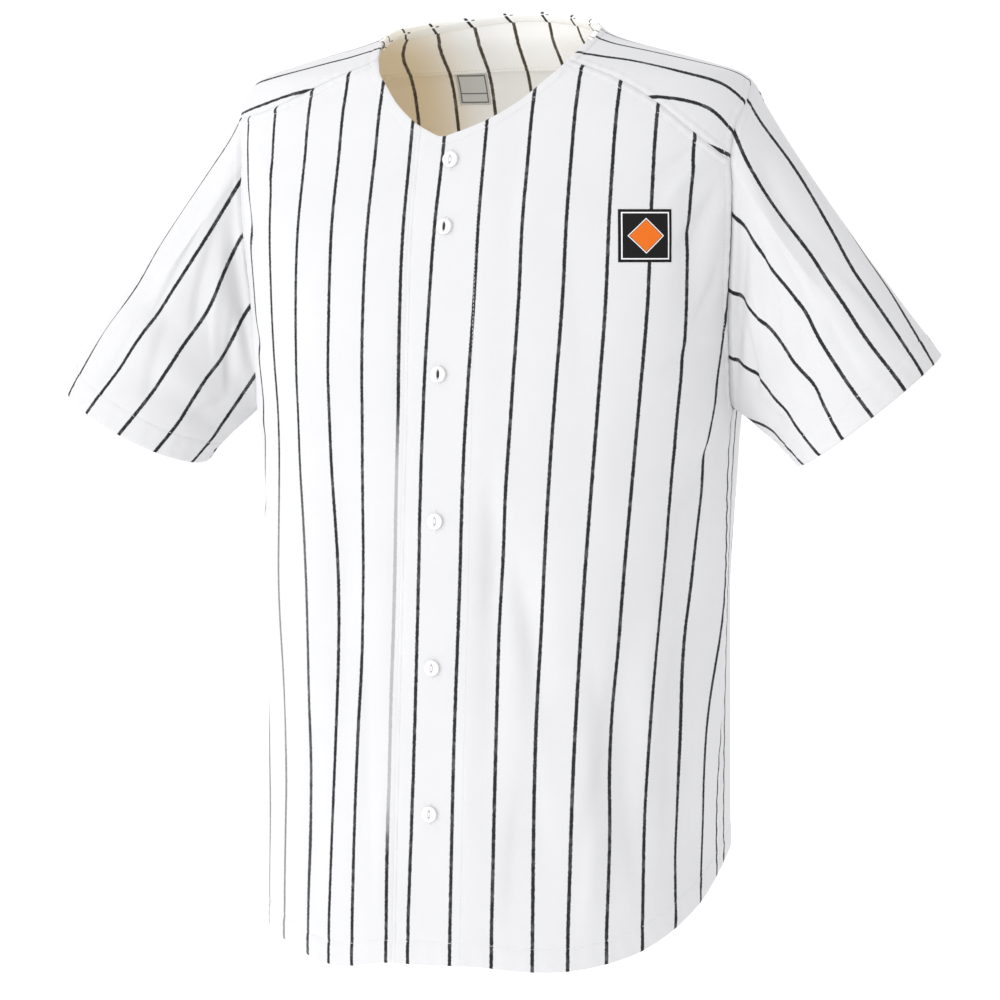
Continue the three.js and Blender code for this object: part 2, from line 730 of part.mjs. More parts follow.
// The facing lies close to the neck edge and hangs a little clear of the back below it
function facingLift(angle, height) {
  const t = THREE.MathUtils.smoothstep(-height, -FACING_HANG_FROM, -FACING_HANG_TO);
  return -CLOTH - FACING_GAP - FACING_HANG * t;
}

function backNeckFacing() {
  const bottomAt = (angle) => {
    const fromCentre = Math.abs(angle - 180);
    return neckHeight(angle) - readTable(FACING_DEPTH, 'angle', 'depth', fromCentre);
  };
  const edges = insideStrip(180 - NECK_HALF_ANGLE, 180 + NECK_HALF_ANGLE, neckHeight, bottomAt);
  return bodyPanel(edges, FACING_COLUMNS, FACING_ROWS, facingLift, FACING_THICK);
}

function neckBinding() {
  const bottomAt = (angle) => neckHeight(angle) - BINDING_WIDTH;
  const edges = insideStrip(180 - NECK_HALF_ANGLE, 180 + NECK_HALF_ANGLE, neckHeight, bottomAt);
  const lift = (angle, height) => facingLift(angle, height) - FACING_THICK - BINDING_GAP;
  return bodyPanel(edges, FACING_COLUMNS, 1, lift, BINDING_THICK);
}

function neckLabel() {
  const middle = 180 - angleAcross(LABEL_OFF_CENTRE, LABEL_TOP);
  const halfAngle = angleAcross(LABEL_SIDE / 2, LABEL_TOP - LABEL_SIDE / 2);
  const edges = insideStrip(middle - halfAngle, middle + halfAngle,
    () => LABEL_TOP, () => LABEL_TOP - LABEL_SIDE);
  return bodyPanel(edges, LABEL_CELLS, LABEL_CELLS, () => -CLOTH - LABEL_GAP, LABEL_THICK);
}

// Dished round button, its back at zero and its face towards +Y
function buttonGeometry() {
  const profile = [
    [0, 0],
    [BUTTON_RADIUS - BUTTON_EDGE, 0],
    [BUTTON_RADIUS, BUTTON_EDGE],
    [BUTTON_RADIUS, BUTTON_THICK - BUTTON_EDGE],
    [BUTTON_RADIUS - BUTTON_EDGE, BUTTON_THICK],
    [BUTTON_RADIUS - BUTTON_RIM, BUTTON_THICK],
    [BUTTON_RADIUS - BUTTON_RIM - BUTTON_DISH, BUTTON_THICK - BUTTON_DISH],
    [0, BUTTON_THICK - BUTTON_DISH],
  ].map(([radius, rise]) => new THREE.Vector2(radius, rise));
  return new THREE.LatheGeometry(profile, BUTTON_SIDES);
}

function buttonHeights() {
  const heights = [FIRST_BUTTON];
  for (let i = 1; i < BUTTON_COUNT; i += 1) heights.push(SECOND_BUTTON - (i - 1) * BUTTON_PITCH);
  return heights;
}

const WHITE_COTTON = { color: 0xf4f4f6, roughness: 0.9, metalness: 0 };
const INSIDE_COTTON = { color: 0xe2d9c4, roughness: 0.9, metalness: 0 };
const GREY_SATIN = { color: 0xc9c9c9, roughness: 0.6, metalness: 0 };
const WHITE_BUTTON = { color: 0xf2f2f0, roughness: 0.35, metalness: 0 };

const jersey = new THREE.Group();
jersey.name = 'baseball_jersey';

function addPiece(name, geometry, finish) {
  const mesh = new THREE.Mesh(geometry, new THREE.MeshStandardMaterial(finish));
  mesh.name = name;
  jersey.add(mesh);
  return mesh;
}

function addButton(number, height) {
  const mesh = addPiece(`button_${number}`, buttonGeometry(), WHITE_BUTTON);
  const outward = bodyNormal(0, height);
  mesh.position.copy(bodyPoint(0, height, LAYER + SEAM_GAP));
  mesh.quaternion.setFromUnitVectors(new THREE.Vector3(0, 1, 0), outward);
}

addPiece('front_left', frontLeft(), WHITE_COTTON);
addPiece('front_right', frontRight(), WHITE_COTTON);
addPiece('back', backPanel(), WHITE_COTTON);
addPiece('saddle_left', saddle('left'), WHITE_COTTON);
addPiece('saddle_right', saddle('right'), WHITE_COTTON);
addPiece('sleeve_left', sleeve('left'), WHITE_COTTON);
addPiece('sleeve_right', sleeve('right'), WHITE_COTTON);
addPiece('back_neck_facing', backNeckFacing(), INSIDE_COTTON);
addPiece('neck_binding', neckBinding(), WHITE_COTTON);
addPiece('neck_label', neckLabel(), GREY_SATIN);
buttonHeights().forEach((height, index) => addButton(index + 1, height));

export default jersey;
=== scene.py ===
# %% [markdown]
# A short-sleeved baseball jersey, filled out as if it were worn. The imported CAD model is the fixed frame: it gives
# the place and size of every panel. This lesson cuts the same panels again as thin cloth, gives them their creases,
# pinstripes, seams and stitches, and sews on the buttons. All sizes in the tables are in millimetres.

# %% Load the frame
import math

import bpy
import numpy as np
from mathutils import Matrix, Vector
from mathutils.kdtree import KDTree


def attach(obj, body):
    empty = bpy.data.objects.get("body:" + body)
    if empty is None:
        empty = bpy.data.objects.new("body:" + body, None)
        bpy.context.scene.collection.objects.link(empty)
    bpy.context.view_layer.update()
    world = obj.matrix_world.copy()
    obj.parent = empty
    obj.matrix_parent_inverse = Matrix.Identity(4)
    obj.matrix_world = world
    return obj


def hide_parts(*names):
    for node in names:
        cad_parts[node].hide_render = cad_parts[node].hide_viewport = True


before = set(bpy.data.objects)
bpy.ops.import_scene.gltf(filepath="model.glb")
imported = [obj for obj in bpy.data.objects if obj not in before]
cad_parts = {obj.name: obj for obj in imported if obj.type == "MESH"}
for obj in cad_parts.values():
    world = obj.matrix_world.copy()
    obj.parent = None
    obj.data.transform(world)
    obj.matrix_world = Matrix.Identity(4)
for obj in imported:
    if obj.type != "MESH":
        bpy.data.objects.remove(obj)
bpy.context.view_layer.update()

MM = 0.001
print("nodes in the frame:", len(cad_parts))

# %% [markdown]
# The camera comes first, because every choice of look is judged through it. The photograph was taken from a little
# to the wearer's left and slightly above the chest, with a long lens, so the camera stands 2.8 m away.

# %% Camera
YAW, RISE = math.radians(22), math.radians(5)
LOOK_AT = Vector((0, 0, -0.386))
CAMERA_DISTANCE = 2.8
FOCAL_PIXELS, PICTURE_PIXELS, SENSOR = 3500, 1000, 36
FRAMING_SHIFT = (0.003, 0.02)


def put(name, data):
    """Adds an object with this data to the scene."""
    thing = bpy.data.objects.new(name, data)
    bpy.context.scene.collection.objects.link(thing)
    return thing


def stand_at(thing, place, ahead):
    """Stands a camera or a lamp at a place and turns it to look along a direction."""
    thing.location = place
    thing.rotation_euler = ahead.to_track_quat("-Z", "Y").to_euler()


towards_camera = Vector((math.sin(YAW) * math.cos(RISE), -math.cos(YAW) * math.cos(RISE), math.sin(RISE)))
lens = bpy.data.cameras.new("Studio camera")
lens.sensor_width = SENSOR
lens.lens = FOCAL_PIXELS / PICTURE_PIXELS * SENSOR
lens.shift_x, lens.shift_y = FRAMING_SHIFT
camera = put("Studio camera", lens)
stand_at(camera, LOOK_AT + towards_camera * CAMERA_DISTANCE, -towards_camera)
bpy.context.scene.camera = camera
print("lens", lens.lens, "mm at", tuple(round(c, 3) for c in camera.location))

# %% [markdown]
# A tailor's block is a short table of body measures. Each table here has named columns and is read smoothly between
# its rows, with a cubic curve through them, so a few rows describe a soft form.

# %% Tables
class Table:
    def __init__(self, names, rows):
        self.names, self.rows = names.split(), np.array(rows, float)

    def read(self, name, at):
        x, y = self.rows[:, 0], self.rows[:, self.names.index(name)]
        at = np.asarray(at, float)
        low = np.clip(np.searchsorted(x, at) - 1, 0, len(x) - 2)
        before = np.maximum(np.arange(len(x)) - 1, 0)
        after = np.minimum(np.arange(len(x)) + 1, len(x) - 1)
        slope = (y[after] - y[before]) / (x[after] - x[before])
        span = x[low + 1] - x[low]
        t = (at - x[low]) / span
        t2, t3 = t * t, t * t * t
        return ((2 * t3 - 3 * t2 + 1) * y[low] + (t3 - 2 * t2 + t) * span * slope[low]
                + (3 * t2 - 2 * t3) * y[low + 1] + (t3 - t2) * span * slope[low + 1])


def mix(first, second, share):
    return first + (second - first) * share


def smooth(t):
    t = np.clip(t, 0, 1)
    return t * t * (3 - 2 * t)


def unit(v):
    return v / np.linalg.norm(v, axis=-1, keepdims=True)


TORSO = Table("height half front back square", [
    (-800, 189, 142, 142, 2.35), (-700, 189, 140, 141, 2.35), (-600, 189, 136, 139, 2.35),
    (-490, 190, 131, 137, 2.35), (-373, 193, 124, 134, 2.35), (-300, 197, 119, 132, 2.35),
    (-260, 202, 117, 131, 2.35), (-205, 207, 112, 128, 2.35), (-152, 214, 105, 124, 2.35),
    (-101, 219, 93, 114, 2.3), (-65, 219, 84, 104, 2.3), (-45, 212, 77, 98, 2.25),
    (-33, 200, 73, 93, 2.2), (-24, 172, 66, 88, 2.15), (-16, 142, 58, 84, 2.1),
    (-8, 112, 48, 80, 2.05), (0, 91, 38, 76, 2), (10, 78, 30, 73, 2), (20, 70, 25, 70, 2),
    (34, 60, 20, 66, 2)])
print("torso table:", len(TORSO.rows), "levels")

# %% [markdown]
# The edges of the panels are drawn on that torso. An angle of 0 is the centre front, 90 the wearer's left side and
# 180 the centre back. The neck and the hem have a left and a right height in each row, because the worn jersey
# doesn't hang quite evenly. The armhole is a loop of angles and heights, and a saddle's seam runs from an angle on the
# neck to a row of that loop, by way of a few points that are given as a distance across and a height.

# %% Edges and seams
NECK_EDGE = [
    (0, -80.5, -80.5), (2.5, -77.5, -83), (6, -72, -77.6), (9, -66.5, -71.2), (13.5, -55.2, -57),
    (18, -42.3, -40), (22, -33, -29.5), (28, -24, -21.3), (36, -16.8, -14.5), (50, -8.5, -7.5),
    (70, -1, -1), (90, 4, 4), (120, 11, 11), (150, 17, 17), (180, 20, 20)]
HEM_EDGE = [
    (0, -719, -719), (12, -718, -721), (22, -720, -727), (30, -720, -727), (38, -717, -721),
    (50, -708, -714), (60, -696, -709), (72, -680, -699), (84, -664, -684), (96, -650, -672),
    (108, -645, -668), (120, -661, -682), (136, -696, -710), (155, -724, -727), (180, -731, -731)]
ARMHOLE = [
    (90, -291), (84, -277), (78.5, -240), (75, -200), (72, -160), (69, -120), (67, -95), (71, -66),
    (90, -43), (104, -56), (112, -84), (114, -120), (112, -160), (108, -200), (103, -240), (96, -277)]
FRONT_SEAM = {"left": (28.5, 5.75, [(120, -37), (152, -54.5), (180, -77)]),
              "right": (28, 7, [(111, -35), (145, -49), (176, -60)])}
BACK_SEAM = (143, 10, [(84, -8), (122, -27), (162, -53)])
LAPPED, UNDER_LAP = -30, 22
NECK_FRONT_HEIGHT, HEM_FRONT_HEIGHT = -72, -719
UNDERARM_HEIGHT = -291
SIDE_SHARE, NECK_SHARE, BACK_SEAM_SHARE = 11 / 24, 6 / 16, 10 / 32
SHOULDER_HEIGHT, SHOULDER_HALF = -101, 219


def whole_round(rows):
    right = [(-angle, low) for angle, _, low in rows[:0:-1]]
    left = [(angle, low) for angle, low, _ in rows]
    before = [(angle - 360, low) for angle, low, _ in rows[-3:-1]]
    after = [(360 - angle, low) for angle, _, low in rows[-2:-4:-1]]
    return Table("angle height", before + right + left + after)


NECK_ROUND, HEM_ROUND = whole_round(NECK_EDGE), whole_round(HEM_EDGE)
LOOP = Table("row angle height", [(i, *ARMHOLE[i % len(ARMHOLE)]) for i in range(-2, len(ARMHOLE) + 2)])


def wrap(angle):
    return angle - 360 * np.floor(np.asarray(angle, float) / 360 + 0.5)


def neck_height(angle):
    return NECK_ROUND.read("height", wrap(angle))


def hem_height(angle):
    return HEM_ROUND.read("height", wrap(angle))


def on_armhole(row, sign):
    return sign * LOOP.read("angle", row), LOOP.read("height", row)


print("neck", float(neck_height(0)), "hem", float(hem_height(0)))

# %% [markdown]
# The worn torso is a rounded box that swells and narrows with height. Its long soft folds are ridges and troughs
# that lean a little and fade out at both ends; the CAD panels have the same ones. A row gives a fold's angle, its lean,
# its top and bottom, its width in degrees and its depth.

# %% The torso surface
BODY_FOLDS = [
    (14.5, 0.5, -330, -600, 4, 4), (28, -1.5, -430, -735, 6, 5), (47, -2, -380, -730, 6, 4.5),
    (66, -3, -290, -690, 6, 5), (57, 3, -88, -250, 5, 3.5), (86, -2, -300, -640, 5, -4),
    (-24, 1, -240, -640, 5, 3.5), (-46, 1.5, -300, -725, 6, 4.5), (-69, 2, -290, -700, 6, 4),
    (112, 3, -300, -680, 6, 5), (140, -2, -250, -730, 7, 5), (168, 2, -140, -560, 7, 4),
    (-166, -2, -330, -735, 7, 5), (-138, 2, -220, -620, 7, 5), (-112, -3, -300, -690, 6, 5)]


def fold_depth(angle, height, folds):
    depth = np.zeros(np.broadcast(angle, height).shape)
    for at, lean, top, bottom, spread, deep in folds:
        middle, reach = (top + bottom) / 2, (top - bottom) / 2
        along = (height - middle) / reach
        fade = np.where(abs(along) < 1, np.cos(along * np.pi / 2) ** 2, 0)
        across = wrap(angle - (at + lean * (middle - height) / 100)) / spread
        depth = depth + deep * fade * np.exp(-across ** 2)
    return depth


def roundness(angle, square):
    side, ahead = np.sin(np.radians(angle)), np.cos(np.radians(angle))
    return side, ahead, (abs(side) ** square + abs(ahead) ** square) ** (-1 / square)


def body_surface(angle, height, folds=BODY_FOLDS):
    angle, height = np.broadcast_arrays(np.asarray(angle, float), np.asarray(height, float))
    side, ahead, reach = roundness(angle, TORSO.read("square", height))
    half = TORSO.read("half", height)
    depth = np.where(ahead > 0, TORSO.read("front", height), TORSO.read("back", height))
    fold = fold_depth(angle, height, folds)
    return np.stack([(half * reach - fold) * side, (fold - depth * reach) * ahead, height], -1)


def body_normal(angle, height, step=1.5):
    across = body_surface(angle + step, height) - body_surface(angle - step, height)
    up = body_surface(angle, height + step) - body_surface(angle, height - step)
    return unit(np.cross(across, up))


print("chest at -205:", body_surface(np.array([0, 90.0]), -205.0).round(1).tolist())

# %% [markdown]
# Some steps need the way across instead of the angle: how far a place on the plain torso is from the middle, and back
# from such a distance to the angle that lies there.

# %% Angles and distances across
def plain_across(angle, height):
    side, _, reach = roundness(angle, TORSO.read("square", height))
    return TORSO.read("half", height) * reach * side


def angle_across(distance, height):
    return np.degrees(np.arcsin(distance / TORSO.read("half", height)))


def angle_at(across, height, behind):
    side = np.minimum(abs(across) / TORSO.read("half", height), 1)
    square = TORSO.read("square", height)
    angle = np.degrees(np.arctan2(side, (1 - side ** square) ** (1 / square)))
    return np.where(across < 0, -1, 1) * (180 - angle if behind else angle)


print("100 mm across at -205 is at", float(angle_at(100.0, -205.0, False).round(1)), "degrees")

# %% [markdown]
# Stripes are measured with a tape laid round the body, so the cells below need the way round the plain torso from
# the centre front. It is summed once on a grid of levels and degrees and read between them.

# %% The tape round the body
GIRTH_STEP = 6.0
GIRTH_LEVELS = np.arange(-800, 34.1, GIRTH_STEP)
GIRTH_DEGREES = np.arange(0, 181.0)
AT_THE_BACK = 179.999  # a hair short of the centre back, so that there is a degree beyond it to read
girth_points = body_surface(GIRTH_DEGREES[None], GIRTH_LEVELS[:, None], [])
girth_steps = np.linalg.norm(np.diff(girth_points, axis=1), axis=2)
GIRTH = np.concatenate([np.zeros((len(GIRTH_LEVELS), 1)), np.cumsum(girth_steps, axis=1)], axis=1)


def round_from_front(angle, height):
    angle = wrap(angle)
    down = np.clip((height - GIRTH_LEVELS[0]) / GIRTH_STEP, 0, len(GIRTH_LEVELS) - 1.001)
    turn = np.clip(abs(angle), 0, AT_THE_BACK)
    i, j = down.astype(int), turn.astype(int)
    a, b = down - i, turn - j
    read = mix(mix(GIRTH[i, j], GIRTH[i, j + 1], b), mix(GIRTH[i + 1, j], GIRTH[i + 1, j + 1], b), a)
    return np.sign(angle) * read


def round_from_back(angle, height):
    turn = np.minimum(abs(wrap(angle)), AT_THE_BACK)
    whole = round_from_front(AT_THE_BACK + 0 * turn, height)
    return np.sign(wrap(angle)) * (abs(whole) - round_from_front(turn, height))


print("half round at -300:", round(float(round_from_front(np.array(179.9), np.array(-300.0))), 1), "mm")

# %% [markdown]
# A pattern piece is bounded by four edges. Inside it the grid of points is stretched between the edges, which is
# called a Coons patch. Each patch is worked out on a flattened chart of the torso, and then put back on it.

# %% Charts of the torso
CHART_STEP, SLANT_SHARE = 2.0, 0.6
CHART_LEVELS = np.arange(-800, 34.01, CHART_STEP)
chart_half = TORSO.read("half", CHART_LEVELS)
CHART_LENGTH = np.concatenate([[0], np.cumsum(np.hypot(CHART_STEP, SLANT_SHARE * np.diff(chart_half)))])


def widest(height):
    return np.where(height < SHOULDER_HEIGHT, TORSO.read("half", height), SHOULDER_HALF)


class HalfChart:
    """The front or the back half of the torso, unrolled from its middle line."""
    def __init__(self, behind):
        self.behind, self.sign = behind, -1 if behind else 1

    def flatten(self, angle, height):
        return np.stack([self.sign * np.arcsin(np.clip(plain_across(angle, height) / widest(height), -1, 1)), height])

    def restore(self, flat):
        angle = angle_at(self.sign * widest(flat[1]) * np.sin(flat[0]), flat[1], self.behind)
        return np.where(self.behind & (angle < 0), angle + 360, angle), flat[1]


class ShoulderChart:
    """The shoulders, where the way down is measured along the slope."""
    @staticmethod
    def flatten(angle, height):
        return np.stack([angle * np.ones_like(height), np.interp(height, CHART_LEVELS, CHART_LENGTH)])

    @staticmethod
    def restore(flat):
        return flat[0], np.interp(flat[1], CHART_LENGTH, CHART_LEVELS)


def coons(chart, edges, u, v):
    """Fills the space between four edges with a grid, and gives its angles and heights on the torso."""
    flat = {k: chart.flatten(*np.broadcast_arrays(*edges[k](u if k in ("bottom", "top") else v)))
            for k in ("bottom", "top", "start", "end")}
    ends = np.array([0.0, 1.0])
    corner = {k: chart.flatten(*np.broadcast_arrays(*edges[k](ends))) for k in ("bottom", "top")}
    across, up = u[None, :], v[:, None]
    found = []
    for k in (0, 1):
        bottom, top = flat["bottom"][k][None, :], flat["top"][k][None, :]
        start, end = flat["start"][k][:, None], flat["end"][k][:, None]
        (low_start, low_end), (high_start, high_end) = corner["bottom"][k], corner["top"][k]
        found.append(mix(bottom, top, up) + mix(start, end, across)
                     - mix(mix(low_start, low_end, across), mix(high_start, high_end, across), up))
    return chart.restore(found)


print("chart levels:", len(CHART_LEVELS))

# %% [markdown]
# Now the edges of the panels. Each is a function that gives an angle and a height for a share of the way along it. A
# saddle's seam is one smooth line, and a side seam goes on as half of the armhole, so some edges have two stretches.

# %% Seam lines
def along_seam(seam, t, sign):
    neck_angle, row, between = seam
    ends = [(sign * neck_angle, neck_height(sign * neck_angle)), on_armhole(row, sign)]
    ends = [(float(abs(plain_across(angle, height))), float(height)) for angle, height in ends]
    line = Table("at across height", [(i, *place) for i, place in enumerate([ends[0], *between, ends[1]])])
    at = np.asarray(t) * (len(line.rows) - 1)
    height = line.read("height", at)
    return angle_at(sign * line.read("across", at), height, neck_angle > 90), height


def two_stretches(first, second, split):
    def edge(t):
        early, late = first(np.minimum(t / split, 1)), second(np.maximum((t - split) / (1 - split), 0))
        return tuple(np.where(t < split, a, b) for a, b in zip(early, late))
    return edge


def side_and_armhole(sign, row_from, row_to):
    def side(t):
        return sign * 90 + 0 * t, mix(hem_height(sign * 90), UNDERARM_HEIGHT, t)
    return two_stretches(side, lambda t: on_armhole(mix(row_from, row_to, t), sign), SIDE_SHARE)


print("the side seams end under the arms at", UNDERARM_HEIGHT, "mm")

# %% [markdown]
# Each panel has four edges. A front runs from the button edge to the side seam, and its top edge turns from the neck
# into the saddle seam. The saddles lie over the shoulders like straps, from the neck to the armhole.

# %% Panel edges
def front_edges(side):
    sign, reach = (1, LAPPED) if side == "left" else (-1, UNDER_LAP)
    seam = FRONT_SEAM[side]
    neck_start, hem_start = (float(angle_across(reach, at)) for at in (NECK_FRONT_HEIGHT, HEM_FRONT_HEIGHT))

    def neck(t):
        angle = mix(neck_start, sign * seam[0], t)
        return angle, neck_height(angle)

    def bottom(t):
        angle = mix(hem_start, sign * 90, t)
        return angle, hem_height(angle)

    def button_edge(t):
        return mix(hem_start, neck_start, t), mix(hem_height(hem_start), neck_height(neck_start), t)
    return {"top": two_stretches(neck, lambda t: along_seam(seam, t, sign), NECK_SHARE),
            "bottom": bottom, "start": button_edge, "end": side_and_armhole(sign, 0, seam[1])}


def back_edges():
    rows = len(ARMHOLE)
    right = side_and_armhole(-1, rows, BACK_SEAM[1])

    def top(t):
        left_seam = along_seam(BACK_SEAM, np.clip(1 - t / BACK_SEAM_SHARE, 0, 1), 1)
        right_seam = along_seam(BACK_SEAM, np.clip((t - 1 + BACK_SEAM_SHARE) / BACK_SEAM_SHARE, 0, 1), -1)
        angle = mix(BACK_SEAM[0], 360 - BACK_SEAM[0], (t - BACK_SEAM_SHARE) / (1 - 2 * BACK_SEAM_SHARE))
        on_left, on_right = t < BACK_SEAM_SHARE, t > 1 - BACK_SEAM_SHARE
        return (np.where(on_left, left_seam[0], np.where(on_right, right_seam[0] + 360, angle)),
                np.where(on_left, left_seam[1], np.where(on_right, right_seam[1], neck_height(angle))))

    def bottom(t):
        return mix(90, 270, t), hem_height(mix(90, 270, t))
    return {"top": top, "bottom": bottom, "start": side_and_armhole(1, rows, BACK_SEAM[1]),
            "end": lambda t: (right(t)[0] + 360, right(t)[1])}


def saddle_edges(side):
    sign, seam = (1, FRONT_SEAM["left"]) if side == "left" else (-1, FRONT_SEAM["right"])

    def top(t):
        angle = sign * mix(seam[0], BACK_SEAM[0], t)
        return angle, neck_height(angle)
    return {"bottom": lambda t: on_armhole(mix(seam[1], BACK_SEAM[1], t), sign), "top": top,
            "start": lambda t: along_seam(seam, 1 - t, sign),
            "end": lambda t: along_seam(BACK_SEAM, 1 - t, sign)}


print("a front has the edges", ", ".join(front_edges("left")))

# %% [markdown]
# A sleeve is a tube. Each of its lengthwise lines is one smooth curve from its point on the armhole loop to its point
# on the oval cuff, and a few slanting folds run round it as they do where an arm would hang.

# %% Sleeve tubes
SLEEVES = {"left": (312.5, 19, 291, 37), "right": (312.5, 19, 312, 28.5)}
SLEEVE_FOLDS = [(0.3, 70, 60, 0.1, 4), (0.52, 110, 50, 0.09, 4.5), (0.74, 80, 40, 0.08, 3),
                (0.4, 270, -55, 0.1, 4), (0.66, 250, -40, 0.1, 4)]
CUFF_HALF_TALL, CUFF_HALF_DEEP = 69, 54
CUFF_SLANT = {"left": 12, "right": 3}
SLEEVE_DROP, SLEEVE_FOLD_REACH = 40, 55
LEAN_FORWARD, ARRIVE_STRAIGHT, HANDLE = 0.25, 0.35, 0.36


def grid_normals(grid, sign):
    around = np.roll(grid, -1, 1) - np.roll(grid, 1, 1)
    along = np.concatenate([grid[1:], grid[-1:]]) - np.concatenate([grid[:1], grid[:-1]])
    return unit(np.cross(along, around)) * sign


def sleeve_fold(along, turn):
    depth = 0
    for at, around_at, twist, spread, deep in SLEEVE_FOLDS:
        around = wrap(turn - around_at)
        across = (along - at - around / twist * spread) / spread
        fade = np.exp(-(around / SLEEVE_FOLD_REACH) ** 2) * np.sin(np.pi * along)
        depth = depth + deep * fade * np.exp(-across ** 2)
    return depth


def sleeve_grid(side, rows_round, rings):
    sign = 1 if side == "left" else -1
    out, forward, down, lean = SLEEVES[side]
    lean = math.radians(lean)
    axis = np.array([sign * math.sin(lean), 0, -math.cos(lean)])
    up_out = np.array([sign * math.cos(lean), 0, math.sin(lean)])
    centre = np.array([sign * out, -forward, -down])
    angle, height = on_armhole(rows_round, sign)
    roots = body_surface(angle, height)
    steps = np.linalg.norm(np.roll(roots, -1, 0) - roots, axis=1)
    lengths = np.concatenate([[0], np.cumsum(steps)])
    turns = 360 * lengths[:-1] / lengths[-1]
    turn = np.radians(turns)
    cap = np.maximum(0, -np.cos(turn))[:, None] ** 2
    down_way = unit(body_surface(angle, height - 1) - roots)
    drop = math.radians(SLEEVE_DROP)
    out_way = unit(np.stack([sign * math.cos(drop) + 0 * turn, -LEAN_FORWARD * np.sin(turn),
                             -math.sin(drop) + 0 * turn], -1))
    way = unit(mix(out_way, down_way, cap))
    end = (centre - up_out * CUFF_HALF_TALL * np.cos(turn)[:, None]
           - np.array([0, 1, 0]) * CUFF_HALF_DEEP * np.sin(turn)[:, None]
           + axis * CUFF_SLANT[side] * np.sin(turn)[:, None])
    arrive = unit(mix(unit(end - roots), axis, ARRIVE_STRAIGHT))
    reach = HANDLE * np.linalg.norm(end - roots, axis=1)[:, None]
    p0, p1, p2, p3 = roots, roots + way * reach, end - arrive * reach, end
    t = np.asarray(rings)[:, None, None]
    plain = (1 - t) ** 3 * p0 + 3 * (1 - t) ** 2 * t * p1 + 3 * (1 - t) * t ** 2 * p2 + t ** 3 * p3
    normals = grid_normals(plain, sign)
    return plain - normals * sleeve_fold(np.asarray(rings)[:, None], turns[None, :])[..., None], normals, turns


print("sleeve folds:", len(SLEEVE_FOLDS))

# %% [markdown]
# Real cloth also has small creases that no solid needs. They could come from a cloth simulation, but this garment
# hangs nearly smooth and its creases show where they are in the photograph, so they are placed one by one. A row
# gives where a crease starts and ends, its width, how far it bows, and its height: minus for a trough. One flank is
# softer than the other, as on a real fold. On a sleeve the rows are read as the way along and the degrees round it.

# %% Small creases
FRONT_CREASES = [
    (48, -340, 86, -566, 12, 6, -2.6), (88, -430, 104, -650, 13, -5, 1.9), (120, -450, 142, -628, 13, 5, -2.3),
    (154, -470, 176, -704, 13, -6, -2.2), (210, -400, 164, -650, 12, 6, -2.6), (230, -500, 198, -704, 10, -4, -2.1),
    (40, -330, 44, -470, 7, 3, -1.9), (62, -400, 92, -560, 9, 5, -1.8), (52, -300, 60, -420, 6, -2, 0.9),
    (150, -440, 118, -640, 10, 6, -2.0), (205, -330, 176, -560, 9, -5, -1.7), (236, -300, 205, -470, 7, 5, 1.3),
    (250, -296, 182, -385, 7, -6, -2.0), (238, -262, 176, -330, 8, 5, 1.4), (222, -232, 168, -268, 6, -3, -1.2),
    (214, -112, 176, -176, 6, 5, -2.2), (206, -96, 166, -138, 5, -3, 1.3), (196, -84, 150, -118, 4, 3, -1.3),
    (222, -168, 196, -232, 5, 3, -1.4), (74, -560, 66, -712, 9, -3, -1.6), (128, -575, 122, -708, 8, 3, 1.3),
    (196, -520, 186, -690, 9, 4, -1.8), (234, -500, 226, -668, 7, -3, 1.2), (24, -520, 28, -640, 6, 2, 0.8),
    (100, -150, 112, -300, 12, 4, -0.9), (70, -96, 64, -200, 10, -3, 0.8), (140, -250, 132, -400, 12, -4, 0.9),
    (-250, -296, -186, -395, 7, 6, -1.9), (-236, -268, -172, -318, 7, -5, 1.3), (-226, -220, -176, -262, 6, 3, -1.2),
    (-216, -110, -176, -190, 6, -5, -1.8), (-204, -84, -160, -128, 5, 3, 1.1), (-240, -320, -214, -560, 8, -5, -1.6),
    (-64, -440, -56, -640, 8, 3, -1.5), (-112, -500, -104, -712, 9, -4, -1.7), (-160, -400, -150, -600, 10, 5, 1.3),
    (-192, -470, -180, -690, 8, 3, -1.4), (-90, -120, -100, -280, 11, -4, -0.9), (-46, -560, -44, -700, 6, 2, 1.0),
    (-130, -240, -122, -380, 12, 4, 0.8), (-34, -180, -36, -330, 5, 1, -0.9), (-35, -360, -33, -520, 5, -1, -0.8)]
BACK_CREASES = [
    (232, -300, 150, -420, 9, -7, -2.0), (238, -330, 205, -560, 9, 6, -1.7), (214, -250, 150, -300, 8, 4, 1.4),
    (196, -130, 150, -236, 9, 5, -1.6), (120, -90, 96, -240, 11, -4, 1.1), (52, -60, 44, -220, 9, 3, -1.2),
    (-18, -90, -26, -330, 11, 4, 0.9), (-74, -56, -64, -210, 9, -3, -1.3), (-140, -100, -112, -250, 10, 4, 1.2),
    (-202, -140, -158, -250, 8, -5, -1.6), (-230, -298, -154, -400, 9, 6, -1.9), (-236, -340, -200, -580, 9, -5, -1.6),
    (150, -420, 132, -690, 11, 5, -2.0), (86, -380, 78, -640, 10, -4, 1.4), (28, -460, 34, -716, 12, 5, -1.9),
    (-34, -400, -40, -650, 10, -4, 1.2), (-92, -430, -84, -712, 11, 4, -1.9), (-150, -400, -142, -660, 10, -4, 1.5),
    (-196, -500, -186, -690, 9, 3, -1.5), (200, -520, 190, -690, 9, -3, -1.5), (4, -30, 2, -100, 8, 1, -0.9)]
